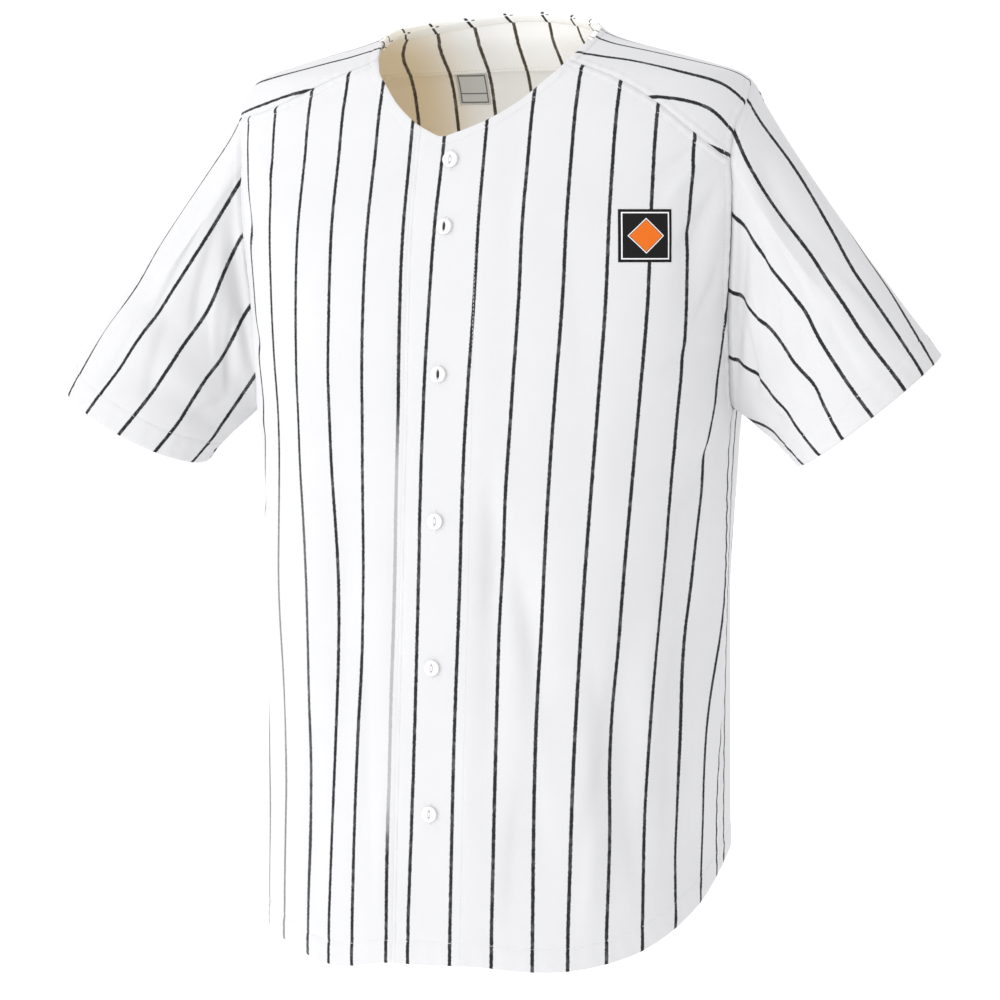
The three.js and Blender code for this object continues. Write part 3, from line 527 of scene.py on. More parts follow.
SLEEVE_CREASES = [
    (0.06, 118, 0.46, 66, 7, 4, -1.9), (0.05, 98, 0.38, 40, 6, -3, 1.3), (0.16, 132, 0.62, 104, 8, 5, -1.5),
    (0.42, 92, 0.86, 70, 8, -4, -1.6), (0.1, 160, 0.5, 150, 8, 3, -1.2), (0.5, 150, 0.92, 138, 8, -3, 1.0),
    (0.3, 20, 0.8, 44, 7, 3, -1.5), (0.08, 66, 0.4, 22, 6, 3, -1.7), (0.55, 116, 0.95, 110, 6, 2, -1.0),
    (0.06, 8, 0.05, 128, 8, 0, -4.2), (0.06, 236, 0.5, 286, 7, -4, -1.8), (0.1, 262, 0.46, 318, 6, 3, 1.3),
    (0.34, 226, 0.82, 250, 8, 4, -1.6), (0.5, 300, 0.94, 290, 8, -3, -1.4), (0.14, 204, 0.6, 210, 9, 3, 1.1),
    (0.6, 334, 0.96, 326, 7, 2, 1.0)]
HARD_FLANK, SOFT_FLANK, CREASE_DEPTH, FADE_SHARE = 0.75, 1.5, 1.4, 0.4


def creased(across, height, rows, ring=None):
    """Sums the creases; ring is the way all round, where the last place meets the first."""
    total = np.zeros(np.broadcast(across, height).shape)
    for from_across, from_height, to_across, to_height, width, bow, rise in rows:
        run = np.array([to_across - from_across, to_height - from_height], float)
        length = np.hypot(*run)
        x, y = across - from_across, height - from_height
        if ring:
            x = x - ring * np.round((x - run[0] / 2) / ring)
        ahead = (x * run[0] + y * run[1]) / length ** 2
        beside = (y * run[0] - x * run[1]) / length - bow * np.sin(np.pi * np.clip(ahead, 0, 1))
        flank = width * np.where(beside > 0, SOFT_FLANK, HARD_FLANK)
        fade = smooth(ahead / FADE_SHARE) * smooth((1 - ahead) / FADE_SHARE)
        total += rise * CREASE_DEPTH * fade * np.exp(-(beside / flank) ** 2)
    return total


print("small creases:", len(FRONT_CREASES), "front,", len(BACK_CREASES), "back,", len(SLEEVE_CREASES), "a sleeve")

# %% [markdown]
# Beside a seam the cloth does three things: it dips into the seam line, it rises over the turned-in allowance, and it
# dips again under the row of top stitching. It also puckers a little, because the thread is shorter than the cloth.
# These shapes only need the distance to the seam, which a k-d tree finds quickly, and how far along it one is.

# %% Seam shapes
CLOTH, DOUBLED, BAND_EASE = 0.8, 1.5, 1.4
TOP_STITCH = 6.3
HEM_BAND, CUFF_BAND, NECK_BAND, PLACKET_BAND, PLACKET_EDGE = 18, 20, 7, 30, 2.2
# Each kind of seam: its ridges, then its puckers' pitch, rise and reach.
SEAMS = {"sewn": ([(-0.8, 0, 1.3), (0.5, 3.4, 2.2), (-0.3, TOP_STITCH, 0.9)], 10.5, 0.3, 9),
         "plain": ([(-0.8, 0, 1.3), (0.15, 4, 2.5)], 17, 0.4, 11)}
# Each kind of edge: where it is stitched down, where its puckers are, their pitch, rise and reach, and how far the
# cloth is doubled.
EDGES = {"hem": (HEM_BAND, 9, 15, 0.35, 9, HEM_BAND), "cuff": (CUFF_BAND, 10, 14, 0.35, 9, CUFF_BAND),
         "neck": (NECK_BAND, 0, 12, 0.2, 8, NECK_BAND), "buttons": (PLACKET_EDGE, 0, 41, 0.3, 16, PLACKET_BAND)}


def nearest(grid, line):
    """For each point of a grid, how far a line is and how far along it the nearest point lies."""
    tree = KDTree(len(line))
    for i, point in enumerate(line):
        tree.insert(point, i)
    tree.balance()
    found = [tree.find(point)[1:] for point in grid.reshape(-1, 3)]
    along = np.concatenate([[0], np.cumsum(np.linalg.norm(np.diff(line, axis=0), axis=1))])
    far = np.array([f[1] for f in found]).reshape(grid.shape[:-1])
    return far, along[[f[0] for f in found]].reshape(grid.shape[:-1])


def ridges(far, rows):
    """Adds up soft ridges beside a line. Each row is a rise, a distance from the line and a width."""
    return sum(rise * np.exp(-((far - at) / width) ** 2) for rise, at, width in rows)


def puckered(far, along, pitch, rise, reach):
    """Ripples along a line, uneven as hand-guided ones are, that fade away from it."""
    ripple = np.sin(2 * np.pi * along / pitch + 1.6 * np.sin(along / (2.3 * pitch)) + np.sin(along / 37))
    return rise * ripple * np.exp(-(far / reach) ** 2) * (1 - np.exp(-(far / 1.5) ** 2))


def turned_edge(far, band):
    """A rolled edge, a doubled band behind it, and a dip where the band is stitched down."""
    return ridges(far, [(-0.4, 0, 0.8)]) + 0.3 * smooth((band + 1 - far) / 2.5) + ridges(far, [(-0.35, band, 1.0)])


def seam_shape(kind, far, along):
    rows, *ripple = SEAMS[kind]
    return ridges(far, rows) + puckered(far, along, *ripple)


def edge_shape(kind, far, along, calm=1):
    """How high the cloth stands near an edge, and how thick it is there."""
    stitched, middle, pitch, rise, reach, band = EDGES[kind]
    high = turned_edge(far, stitched) + puckered(abs(far - middle), along, pitch, rise, reach) * calm
    return high, CLOTH + (DOUBLED - CLOTH) * smooth((band + BAND_EASE / 2 - far) / BAND_EASE)


print("kinds of seam:", ", ".join([*SEAMS, *EDGES]))

# %% [markdown]
# Pinstripes are woven along the cloth and then run wherever the panel takes them. For each panel a table gives where
# its stripes lie, as read from the photograph where it shows them and set out evenly where it doesn't. Counting the
# stripes up to a point gives a number that the material can use, and the local spacing keeps them equally wide.

# %% Stripe tables
STRIPE_PITCH = 34
LEFT_FRONT_STRIPES = [
    (-689, -17, 18, 51, 83, 110, 140, 169, 200, 230), (-551, -14, 19, 52, 83, 113, 144, 173, 206, 232),
    (-436, -13, 21, 53, 86, 117, 147, 180, 211, 252), (-321, -13, 22, 57, 90, 123, 154, 186, 220, 256),
    (-206, -10, 27, 62, 96, 129, 161, 193, 232, 266), (-91, -7, 27, 62, 96, 128, 159, 189, 224, 258)]
RIGHT_FRONT_STRIPES = [
    (-689, -147, -114, -91, -68, -37, -2), (-551, -153, -115, -87, -66, -36, -2),
    (-436, -164, -120, -88, -63, -35, -2), (-321, -158, -130, -97, -66, -35, -2),
    (-206, -166, -135, -101, -68, -36, -2), (-91, -168, -132, -99, -66, -36, -2)]
LEFT_SADDLE_STRIPES = [
    (0, 0.03, 0.171, 0.36, 0.53, 0.7, 0.87, 1.03), (0.25, -0.05, 0.115, 0.27, 0.42, 0.62, 0.82, 1.01),
    (0.5, -0.15, 0.005, 0.15, 0.36, 0.57, 0.78, 0.98), (0.75, -0.3, -0.1, 0.12, 0.33, 0.54, 0.75, 0.96),
    (1, -0.4, -0.18, 0.05, 0.29, 0.53, 0.77, 1.01)]
RIGHT_SADDLE_STRIPES = [
    (0, 0.045, 0.33, 0.66, 0.98, 1.3, 1.6), (0.25, 0.035, 0.22, 0.44, 0.66, 0.88, 1.1),
    (0.5, 0.01, 0.14, 0.34, 0.54, 0.74, 0.94), (0.75, -0.03, 0.137, 0.35, 0.56, 0.77, 0.98),
    (1, -0.1, 0.11, 0.35, 0.59, 0.83, 1.07)]
LEFT_SLEEVE_STRIPES = [
    (0, -36, -4, 30, 64, 102, 143, 163, 188, 217, 255, 292, 325, 356, 388, 420),
    (0.25, -28, 3, 35, 67, 97, 148, 170, 186, 211, 245, 280, 312, 342, 374, 400),
    (0.5, -16, 12, 41, 72, 99, 146, 166, 184, 205, 233, 265, 296, 324, 350, 378),
    (0.75, -6, 20, 48, 78, 99, 131, 156, 175, 197, 224, 254, 284, 312, 340, 368),
    (1, 10, 32, 55, 77, 101, 128, 146, 161, 186, 214, 243, 271, 299, 327, 355)]
RIGHT_SLEEVE_STRIPES = [
    (0, -14, 20, 55, 92, 120, 155, 188, 222, 256, 289, 321, 352, 384),
    (0.25, -12, 16, 44, 73, 106, 170, 196, 226, 258, 289, 320, 350, 381),
    (0.5, -14, 14, 45, 72, 103, 169, 198, 228, 260, 291, 321, 350, 380),
    (0.75, -16, 13, 46, 74, 105, 150, 182, 208, 240, 272, 303, 334, 365),
    (1, -14, 17, 51, 79, 108, 134, 162, 191, 222, 253, 285, 316, 347)]
BACK_PITCH, BACK_SHIFT, FACING_SHIFT, FACING_LEAN = 33.3, 24.5, 18.5, 0.18
CLOSEST, WIDEST = 0.4, 2


def stripe_count(place, at, rows):
    """How many stripes lie before each place; at says where in the table's rows to read."""
    table = Table(" ".join(f"s{i}" for i in range(len(rows[0]))), rows)
    at = np.clip(at, table.rows[0, 0], table.rows[-1, 0])
    lines = [table.read(name, at) for name in table.names[1:]]
    count = np.zeros(np.broadcast(place, at).shape)
    for near, far in zip(lines[:-1], lines[1:]):
        count += np.clip((place - near) / (far - near), 0, 1)
    count += np.minimum((place - lines[0]) / (lines[1] - lines[0]), 0)
    return count + np.maximum((place - lines[-1]) / (lines[-1] - lines[-2]), 0)


def stripe_spread(grid, count):
    """How far apart the stripes lie on a grid of points, as a share of the usual pitch."""
    across, up = np.gradient(grid, axis=1), np.gradient(grid, axis=0)
    by_across, by_up = np.gradient(count, axis=1), np.gradient(count, axis=0)
    aa, uu, au = (across ** 2).sum(-1), (up ** 2).sum(-1), (across * up).sum(-1)
    slope = (uu * by_across ** 2 - 2 * au * by_across * by_up + aa * by_up ** 2) / (aa * uu - au ** 2)
    return np.clip(1 / np.sqrt(np.maximum(slope, 1e-12)) / STRIPE_PITCH, CLOSEST, WIDEST)


print("stripes on the fronts:", len(LEFT_FRONT_STRIPES[0]) - 1, "left,", len(RIGHT_FRONT_STRIPES[0]) - 1, "right")

# %% [markdown]
# A panel becomes a shell: an outer wall, an inner wall a cloth's thickness behind it, and rims that close it. The grid
# has extra rows close to its edges, where the seams need them. The Solidify modifier could thicken a plain grid, but
# this cloth is thicker where it is turned over, and its quads are quick to list with numpy.

# %% The walls and rims of a shell
EDGE_STOPS = (0.6, 1.3, 2.2, 3.3, 4.5, 5.6, 6.4, 7.4, 9)


def stops(count, length):
    """Shares from 0 to 1, evenly spaced, with extra ones at a few millimetres from both ends."""
    near = np.array(EDGE_STOPS) / length
    even, clear = np.linspace(0, 1, count + 1), near[-1] * 1.1
    return np.concatenate([[0], near, even[(even > clear) & (even < 1 - clear)], 1 - near[::-1], [1]])


def shell_faces(rows, columns, closed):
    """The quads of a shell's outer wall, inner wall and rims, and the same quads on the chart of its stripes."""
    wide, behind = columns + closed, rows * columns
    i, j = np.arange(wide - 1), np.arange(rows - 1)[:, None]
    k = (i + 1) % columns

    def wall(width, near, far):
        quads = [j * width + near, j * width + far, (j + 1) * width + far, (j + 1) * width + near]
        return np.stack(quads, -1).reshape(-1, 4)
    last, last_row = (rows - 1) * columns, (rows - 1) * wide + i
    rims = [((i, i + behind, k + behind, k), (i, i, i + 1, i + 1)),
            ((last + k, last + k + behind, last + i + behind, last + i),
             (last_row + 1, last_row + 1, last_row, last_row))]
    if not closed:
        start = np.arange(rows - 1) * columns
        end = start + columns - 1
        for rim in ((start + columns, start + columns + behind, start + behind, start),
                    (end, end + behind, end + columns + behind, end + columns)):
            rims.append((rim, [corner % behind for corner in rim]))
    face, chart = wall(columns, i, k), wall(wide, i, i + 1)
    return (np.concatenate([face, (face + behind)[:, ::-1], *(np.stack(f, 1) for f, _ in rims)]),
            np.concatenate([chart, chart[:, ::-1], *(np.stack(c, 1) for _, c in rims)]))


print("stops on a 300 mm edge:", len(stops(96, 300)))

# %% [markdown]
# The mesh of a piece of cloth. Its faces are turned round where they would point inwards. The stripe count and the
# length along the cloth go to a UV map, which the pinstripes are drawn from, and the stripes' spacing and ink go to
# attributes of the points. On the wearer's right front the ink holds painted light, which weakens the stripes.

# %% Making cloth
def cloth_mesh(name, outer, inner, count, length, finishes, closed=False, **shades):
    """Makes a shell from its outer and inner grid. The stripe count and the length along the cloth are its chart."""
    faces, charts = shell_faces(*outer.shape[:2], closed)
    wall = (outer.shape[0] - 1) * (outer.shape[1] - 1 + closed)
    middle = faces[wall // 2]
    corners, inside = outer.reshape(-1, 3)[middle], inner.reshape(-1, 3)[middle[0]]
    if np.dot(np.cross(corners[1] - corners[0], corners[3] - corners[0]), corners[0] - inside) < 0:
        faces, charts = faces[:, ::-1], charts[:, ::-1]
    points = np.concatenate([outer.reshape(-1, 3), inner.reshape(-1, 3)]) * MM
    mesh = bpy.data.meshes.new(name)
    mesh.from_pydata(points.tolist(), [], faces.tolist())
    flat = np.stack([count.ravel() * STRIPE_PITCH * MM, length.ravel() * MM], 1)[charts.ravel()]
    mesh.uv_layers.new(name="Cloth").data.foreach_set("uv", flat.ravel())
    for title, values in shades.items():
        both = np.concatenate([values.ravel(), values.ravel()])
        mesh.attributes.new(title, "FLOAT", "POINT").data.foreach_set("value", both)
    slots = np.zeros(len(faces), int)
    slots[wall:2 * wall] = 1
    mesh.polygons.foreach_set("material_index", slots)
    mesh.polygons.foreach_set("use_smooth", np.ones(len(faces), bool))
    for finish in finishes:
        mesh.materials.append(finish)
    return put(name, mesh)


def cloth_area(grid, closed=False):
    """Square metres of a grid of points in millimetres."""
    if closed:
        grid = np.concatenate([grid, grid[:, :1]], 1)
    a, b = grid[1:, 1:] - grid[:-1, :-1], grid[1:, :-1] - grid[:-1, 1:]
    return float(np.linalg.norm(np.cross(a, b), axis=-1).sum() / 2) * MM * MM


print("cloth is", CLOTH, "mm thick, and", DOUBLED, "mm where it is turned over")

# %% [markdown]
# Colours are chosen as they look on a screen, in sRGB, and shaders want linear light, so one function turns them. A
# second small function adds a node, sets it up and links it, so that a material reads like a recipe from the first
# node to the shader.

# %% Colour and node helpers
def linear(shade):
    parts = [int(shade[i:i + 2], 16) / 255 for i in (1, 3, 5)]
    return (*[c / 12.92 if c <= 0.04045 else ((c + 0.055) / 1.055) ** 2.4 for c in parts], 1)


def feed(tree, node, inputs):
    """Each input is given a value, a socket to link, or a node, whose first output in use is linked."""
    for name, value in (inputs.items() if isinstance(inputs, dict) else enumerate(inputs)):
        if isinstance(value, bpy.types.Node):
            value = next(socket for socket in value.outputs if socket.enabled)
        if isinstance(value, bpy.types.NodeSocket):
            tree.links.new(value, node.inputs[name])
        else:
            node.inputs[name].default_value = value
    return node


def add(tree, kind, inputs=(), **settings):
    node = tree.nodes.new(kind)
    for name, value in settings.items():
        setattr(node, name, value)
    return feed(tree, node, inputs)


# A Mix node keeps sockets for every type of value; these are the numbers of its share and its two colours.
SHARE, FIRST, SECOND = 0, 6, 7


def new_material(name, **fixed):
    """A material with its shader; values that are the same all over go straight on its sockets."""
    material = bpy.data.materials.new(name)
    material.use_nodes = True
    tree = material.node_tree
    shader = tree.nodes["Principled BSDF"]
    for socket, value in fixed.items():
        shader.inputs[socket.replace("_", " ")].default_value = value
    return material, tree, shader


print("white cloth is", [round(c, 3) for c in linear("#f3f3f6")[:3]], "in linear light")

# %% [markdown]
# The cloth is a plain-woven polyester, heat-set so that it hangs clean, with black yarns woven in as pinstripes. It
# is matt with a faint sheen at grazing angles. A stripe's edges are uneven by about a yarn's width, and here and
# there white yarns cross it. Real yarns are about 0.3 mm apart, too fine to show at this distance, so the weave is
# drawn at 1.5 mm. The inside is the same cloth, which looks cream in the shade of the hollow: the copies for the
# inside and the tape are painted lighter, as painted light, and a tan towards the wearer's right and the inside's
# brown stripes are painted shade. The cloth is thin enough for daylight to come through it; a painted glow, a little
# light of its own, stands for that.

# %% Woven pinstripe cloth
STRIPE_HALF, STRIPE_BLUR, STRIPE_UNEVEN = 1.42, 0.35, 0.9
WEAVE_PITCH, YARN_END, GAP_SIZE, CLOUD_SIZE = 1.5, 1.6, 7, 60
# Painted shade: the inside is painted tan towards the wearer's right, between these two places, and glows less there.
PAINTED_SHADE_FROM, PAINTED_SHADE_TO, PAINTED_SHADE_DIMMER = -45, -105, 0.45


def woven_stripes(name, ground, ground_shade, stripe, stripe_worn, painted_shade=None, through=0.0):
    material, tree, shader = new_material(name, Roughness=0.88, Sheen_Weight=0.06, Sheen_Roughness=0.5,
                                          Specular_IOR_Level=0.22)
    chart = add(tree, "ShaderNodeSeparateXYZ", [add(tree, "ShaderNodeUVMap", uv_map="Cloth")])
    across, along = chart.outputs["X"], chart.outputs["Y"]
    spread = add(tree, "ShaderNodeAttribute", attribute_name="spread").outputs["Fac"]
    # ink weakens the stripes; on the wearer's right front it is painted light, where bright light washes them out.
    ink = add(tree, "ShaderNodeAttribute", attribute_name="ink").outputs["Fac"]
    place = add(tree, "ShaderNodeTexCoord").outputs["Object"]
    yarn_ends = add(tree, "ShaderNodeTexNoise", {"Vector": place, "Scale": 1 / (YARN_END * MM), "Detail": 1.0})
    gaps = add(tree, "ShaderNodeTexNoise", {"Vector": place, "Scale": 1 / (GAP_SIZE * MM), "Detail": 2.0})
    clouds = add(tree, "ShaderNodeTexNoise", {"Vector": place, "Scale": 1 / (CLOUD_SIZE * MM), "Detail": 3.0})
    yarn_ends, gaps, clouds = (noise.outputs["Fac"] for noise in (yarn_ends, gaps, clouds))

    to_stripe = add(tree, "ShaderNodeMath", [across, STRIPE_PITCH * MM / 2], operation="PINGPONG")
    to_stripe = add(tree, "ShaderNodeMath", [to_stripe, spread], operation="MULTIPLY")
    uneven = add(tree, "ShaderNodeMath", [yarn_ends, STRIPE_UNEVEN * MM, -STRIPE_UNEVEN / 2 * MM],
                 operation="MULTIPLY_ADD")
    edge = add(tree, "ShaderNodeMath", [to_stripe, uneven], operation="ADD")
    mask = add(tree, "ShaderNodeMapRange", {"Value": edge, "From Min": (STRIPE_HALF + STRIPE_BLUR) * MM,
               "From Max": (STRIPE_HALF - STRIPE_BLUR) * MM}, interpolation_type="SMOOTHSTEP")
    worn = add(tree, "ShaderNodeMapRange", {"Value": gaps, "From Min": 0.3, "From Max": 0.5, "To Min": 0.9,
               "To Max": 1.0})
    mask = add(tree, "ShaderNodeMath", [mask, worn], operation="MULTIPLY")
    mask = add(tree, "ShaderNodeMath", [mask, ink], operation="MULTIPLY")

    white = add(tree, "ShaderNodeMix", {SHARE: clouds, FIRST: linear(ground), SECOND: linear(ground_shade)},
                data_type="RGBA")
    # Painted shade: a tan mixed in towards the wearer's right; the painted glow of the inside is dimmer there.
    if painted_shade:
        sides = add(tree, "ShaderNodeSeparateXYZ", [place])
        painted_shade_share = add(tree, "ShaderNodeMapRange", {"Value": sides.outputs["X"], "From Min": PAINTED_SHADE_FROM * MM,
                         "From Max": PAINTED_SHADE_TO * MM}, interpolation_type="SMOOTHSTEP")
        white = add(tree, "ShaderNodeMix", {SHARE: painted_shade_share, FIRST: white, SECOND: linear(painted_shade)}, data_type="RGBA")
        glow = add(tree, "ShaderNodeMath", [painted_shade_share, -PAINTED_SHADE_DIMMER * through, through], operation="MULTIPLY_ADD")
        feed(tree, shader, {"Emission Strength": glow})
    black = add(tree, "ShaderNodeMix", {SHARE: yarn_ends, FIRST: linear(stripe), SECOND: linear(stripe_worn)},
                data_type="RGBA")
    colour = add(tree, "ShaderNodeMix", {SHARE: mask, FIRST: white, SECOND: black}, data_type="RGBA")

    waves = [add(tree, "ShaderNodeMath", [way, 2 * math.pi / (WEAVE_PITCH * MM)], operation="MULTIPLY")
             for way in (across, along)]
    over, under = (add(tree, "ShaderNodeMath", [wave], operation="SINE") for wave in waves)
    fuzz = add(tree, "ShaderNodeMath", [yarn_ends, 1.6], operation="MULTIPLY")
    weave = add(tree, "ShaderNodeMath", [over, under, fuzz], operation="MULTIPLY_ADD")
    bump = add(tree, "ShaderNodeBump", {"Height": weave, "Strength": 0.25, "Distance": 0.06 * MM})
    feed(tree, shader, {"Base Color": colour, "Emission Color": colour, "Normal": bump})
    return material


# The outside cloth; then the inside and the tape, painted lighter as painted light, with painted shade and a painted
# glow.
outside_cloth = woven_stripes("Woven pinstripe polyester", "#d9d9da", "#d3d3d4", "#1a1b1e", "#2d2e31")
inside_cloth = woven_stripes("Woven pinstripe polyester, inside", "#eceded", "#e8e8e6", "#3a332a", "#544a3d",
                             painted_shade="#e0d0b2", through=0.19)
tape_cloth = woven_stripes("Woven pinstripe polyester, tape", "#eeeeec", "#e9e9e6", "#1a1b1e", "#2d2e31",
                           painted_shade="#e6dfd0", through=0.13)
print("materials:", outside_cloth.name, "/", inside_cloth.name, "/", tape_cloth.name)

# %% [markdown]
# Each panel is cut in the same way: stretch its grid, measure the distance to its seams, add creases, seam shapes and
# any layer that it lies on, and make the cloth. Creases calm down at a sewn seam, so that two panels meet exactly on
# the line that they share. Where several sewn seams come together, the nearest one shapes the cloth.

# %% Cutting a panel
SEAM_POINTS = 1300
CALM = 5
panels = {}


def make_panel(name, outer, facing, thick, far, count, woven, closed=False, **shades):
    """Makes a panel's cloth and keeps what its stitches and its ties to the frame need.

    The length along the cloth is measured on the grid that woven gives."""
    steps = np.linalg.norm(np.diff(woven, axis=0), axis=2)
    length = np.concatenate([np.zeros((1, woven.shape[1])), np.cumsum(steps, axis=0)])
    piece = cloth_mesh(name, outer, outer - facing * thick[..., None], count, length, (outside_cloth, inside_cloth),
                       closed, **shades)
    panels[name] = {"piece": piece, "outer": outer, "facing": facing, "far": far, "area": cloth_area(outer, closed)}
    print(name, outer.shape[:2], "area", round(panels[name]["area"], 4), "m2")


def cut_panel(name, chart, edges, u, v, seams, way_round, creases, stripes, lift=None, ink=None):
    """Cuts a panel out of the torso. Each seam gives its edge, the shares where it starts and ends, and its kind."""
    angle, height = coons(chart, edges, u, v)
    plain, facing = body_surface(angle, height), body_normal(angle, height)
    across, flat = way_round(angle, height), np.ones_like(height)
    far, along, calm = {}, {}, flat
    nearest_sewn, sewn_rise = 1e9 * flat, 0 * flat
    for title, (edge, first, last, kind) in seams.items():
        line = body_surface(*edges[edge](np.linspace(first, last, SEAM_POINTS)))
        far[title], along[title] = nearest(plain, line)
        if kind in SEAMS:
            closer = far[title] < nearest_sewn
            sewn_rise = np.where(closer, seam_shape(kind, far[title], along[title]), sewn_rise)
            nearest_sewn = np.minimum(nearest_sewn, far[title])
            calm = np.minimum(calm, 1 - np.exp(-(far[title] / CALM) ** 2))
    rise = creased(across, height, creases) * calm + sewn_rise
    thick = CLOTH * flat
    for title, (edge, first, last, kind) in seams.items():
        if kind in EDGES:
            more, doubled = edge_shape(kind, far[title], along[title], calm)
            rise, thick = rise + more, np.maximum(thick, doubled)
    if lift:
        rise = rise + lift(angle, height)
    outer, count = plain + facing * rise[..., None], stripes(across, u, v, height)
    make_panel(name, outer, facing, thick, far, count, outer, spread=stripe_spread(plain, count),
               ink=ink(across, height) if ink else flat)

# %% [markdown]
# The two fronts. The left one laps over the right one at the buttons and lies a layer's height above it there, and
# eases back down beside the placket. Both are cut from one width of cloth with the stripes running down it. Some
# stripes of the wearer's right front have a weaker tone, because bright light washes them out there.

# %% Fronts
LAYER, LAP_EASE, LAP_SINK = 1.8, 26, 0.5
FRONT_SEAMS = {"neck": ("top", 0, NECK_SHARE, "neck"), "saddle": ("top", NECK_SHARE, 1, "sewn"),
               "side": ("end", 0, SIDE_SHARE, "plain"), "armhole": ("end", SIDE_SHARE, 1, "sewn"),
               "hem": ("bottom", 0, 1, "hem"), "buttons": ("start", 0, 1, "buttons")}


def lapped_lift(angle, height):
    across = TORSO.read("half", height) * np.sin(np.radians(angle))
    return LAYER * (1 - smooth((across + LAPPED) / LAP_EASE))


def under_lift(angle, height):
    across = TORSO.read("half", height) * np.sin(np.radians(angle))
    return -LAP_SINK * smooth((across - LAPPED + LAP_EASE) / LAP_EASE)


def right_painted_light(across, height):
    """How strong the right front's stripes are; painted light weakens them below the chest, beside the lap and towards
    the side.
    """
    beside_lap = np.exp(-((across + 36) / 12) ** 2) * smooth((-285 - height) / 60) * smooth((height + 640) / 50)
    towards_side = smooth((-105 - across) / 40) * smooth((-320 - height) / 90)
    return np.clip(1 - 0.6 * beside_lap - 0.3 * towards_side, 0.1, 1)


for side, rows, lift, ink in (("left", LEFT_FRONT_STRIPES, lapped_lift, None),
                              ("right", RIGHT_FRONT_STRIPES, under_lift, right_painted_light)):
    cut_panel(f"cloth_front_{side}", HalfChart(behind=False), front_edges(side), stops(96, 290), stops(216, 650),
              FRONT_SEAMS, round_from_front, FRONT_CREASES,
              lambda across, u, v, height, rows=rows: stripe_count(across, height, rows), lift, ink)

# %% [markdown]
# The back is one wide panel. The photograph shows only its inside near the neck, where the stripes hang straight
# down, so the whole back has straight stripes at the same spacing. Its folds are like those of the fronts.

# %% Back
cut_panel("cloth_back", HalfChart(behind=True), back_edges(), stops(160, 530), stops(216, 680),
          {"neck": ("top", BACK_SEAM_SHARE, 1 - BACK_SEAM_SHARE, "neck"),
           "left_saddle": ("top", 0, BACK_SEAM_SHARE, "sewn"), "right_saddle": ("top", 1 - BACK_SEAM_SHARE, 1, "sewn"),
           "left_side": ("start", 0, SIDE_SHARE, "plain"), "left_armhole": ("start", SIDE_SHARE, 1, "sewn"),
           "painted_shade_share": ("end", 0, SIDE_SHARE, "plain"), "right_armhole": ("end", SIDE_SHARE, 1, "sewn"),
           "hem": ("bottom", 0, 1, "hem")},
          round_from_back, BACK_CREASES, lambda across, u, v, height: (across - BACK_SHIFT) / BACK_PITCH)

# %% [markdown]
# The saddles. Their stripes run from the neck out over the shoulder and carry on down the sleeves.

# %% Saddles
SADDLE_SEAMS = {"neck": ("top", 0, 1, "neck"), "armhole": ("bottom", 0, 1, "sewn"),
                "front_seam": ("start", 0, 1, "sewn"), "back_seam": ("end", 0, 1, "sewn")}
for side, rows in (("left", LEFT_SADDLE_STRIPES), ("right", RIGHT_SADDLE_STRIPES)):
    cut_panel(f"cloth_saddle_{side}", ShoulderChart, saddle_edges(side), stops(64, 160), stops(64, 150),
              SADDLE_SEAMS, round_from_front, [],
              lambda across, u, v, height, rows=rows: stripe_count(u[None, :], v[:, None], rows))

# %% [markdown]
# A sleeve starts exactly on the dipped edge of the body's armhole, so no light shows through the seam, and leaves it
# over a few millimetres. Under the arm its two long edges are sewn together in one plain seam.

# %% Sleeves
MM_PER_DEGREE, SLEEVE_LENGTH, LEAVE_ARMHOLE = 1.25, 200, 6
ROUND_POINTS, RING_POINTS = 160, 1000


def edge_line(ring):
    """A closed ring of points, read at many more."""
    ring = np.concatenate([ring, ring[:1]])
    fine = np.linspace(0, len(ring) - 1, RING_POINTS)
    return np.stack([np.interp(fine, np.arange(len(ring)), ring[:, k]) for k in range(3)], 1)


def cut_sleeve(side, stripes):
    rows_round = np.linspace(0, len(ARMHOLE), ROUND_POINTS + 1)[:-1]
    rings = stops(90, SLEEVE_LENGTH)
    plain, facing, turns = sleeve_grid(side, rows_round, rings)
    armhole, along_armhole = nearest(plain, edge_line(plain[0]))
    cuff, along_cuff = nearest(plain, edge_line(plain[-1]))
    creases = [(turn * MM_PER_DEGREE, at * SLEEVE_LENGTH, to_turn * MM_PER_DEGREE, to * SLEEVE_LENGTH, *shape)
               for at, turn, to, to_turn, *shape in SLEEVE_CREASES]
    rise = creased((turns * MM_PER_DEGREE)[None, :], (rings * SLEEVE_LENGTH)[:, None], creases,
                   ring=360 * MM_PER_DEGREE)
    under_arm = abs(wrap(turns)) * MM_PER_DEGREE
    rise = rise * (1 - np.exp(-(armhole / CALM) ** 2)) + ridges(under_arm, SEAMS["plain"][0])[None, :]
    more, thick = edge_shape("cuff", cuff, along_cuff)
    rise = rise + seam_shape("sewn", armhole, along_armhole) + more
    sewn_depth = ridges(np.zeros(1), SEAMS["sewn"][0])
    at_edge = body_normal(*on_armhole(rows_round, 1 if side == "left" else -1)) * sewn_depth
    leave = smooth(armhole / LEAVE_ARMHOLE)[..., None]
    outer = plain + mix(at_edge[None] * np.ones_like(facing), facing * rise[..., None], leave)
    opened = np.concatenate([plain, plain[:, :1]], 1)
    count = stripe_count(np.append(turns, 360)[None, :], rings[:, None], stripes)
    make_panel(f"cloth_sleeve_{side}", outer, facing, thick, {"armhole": armhole, "cuff": cuff}, count, opened,
               closed=True, spread=stripe_spread(opened, count)[:, :-1], ink=np.ones_like(armhole))


cut_sleeve("left", LEFT_SLEEVE_STRIPES)
cut_sleeve("right", RIGHT_SLEEVE_STRIPES)

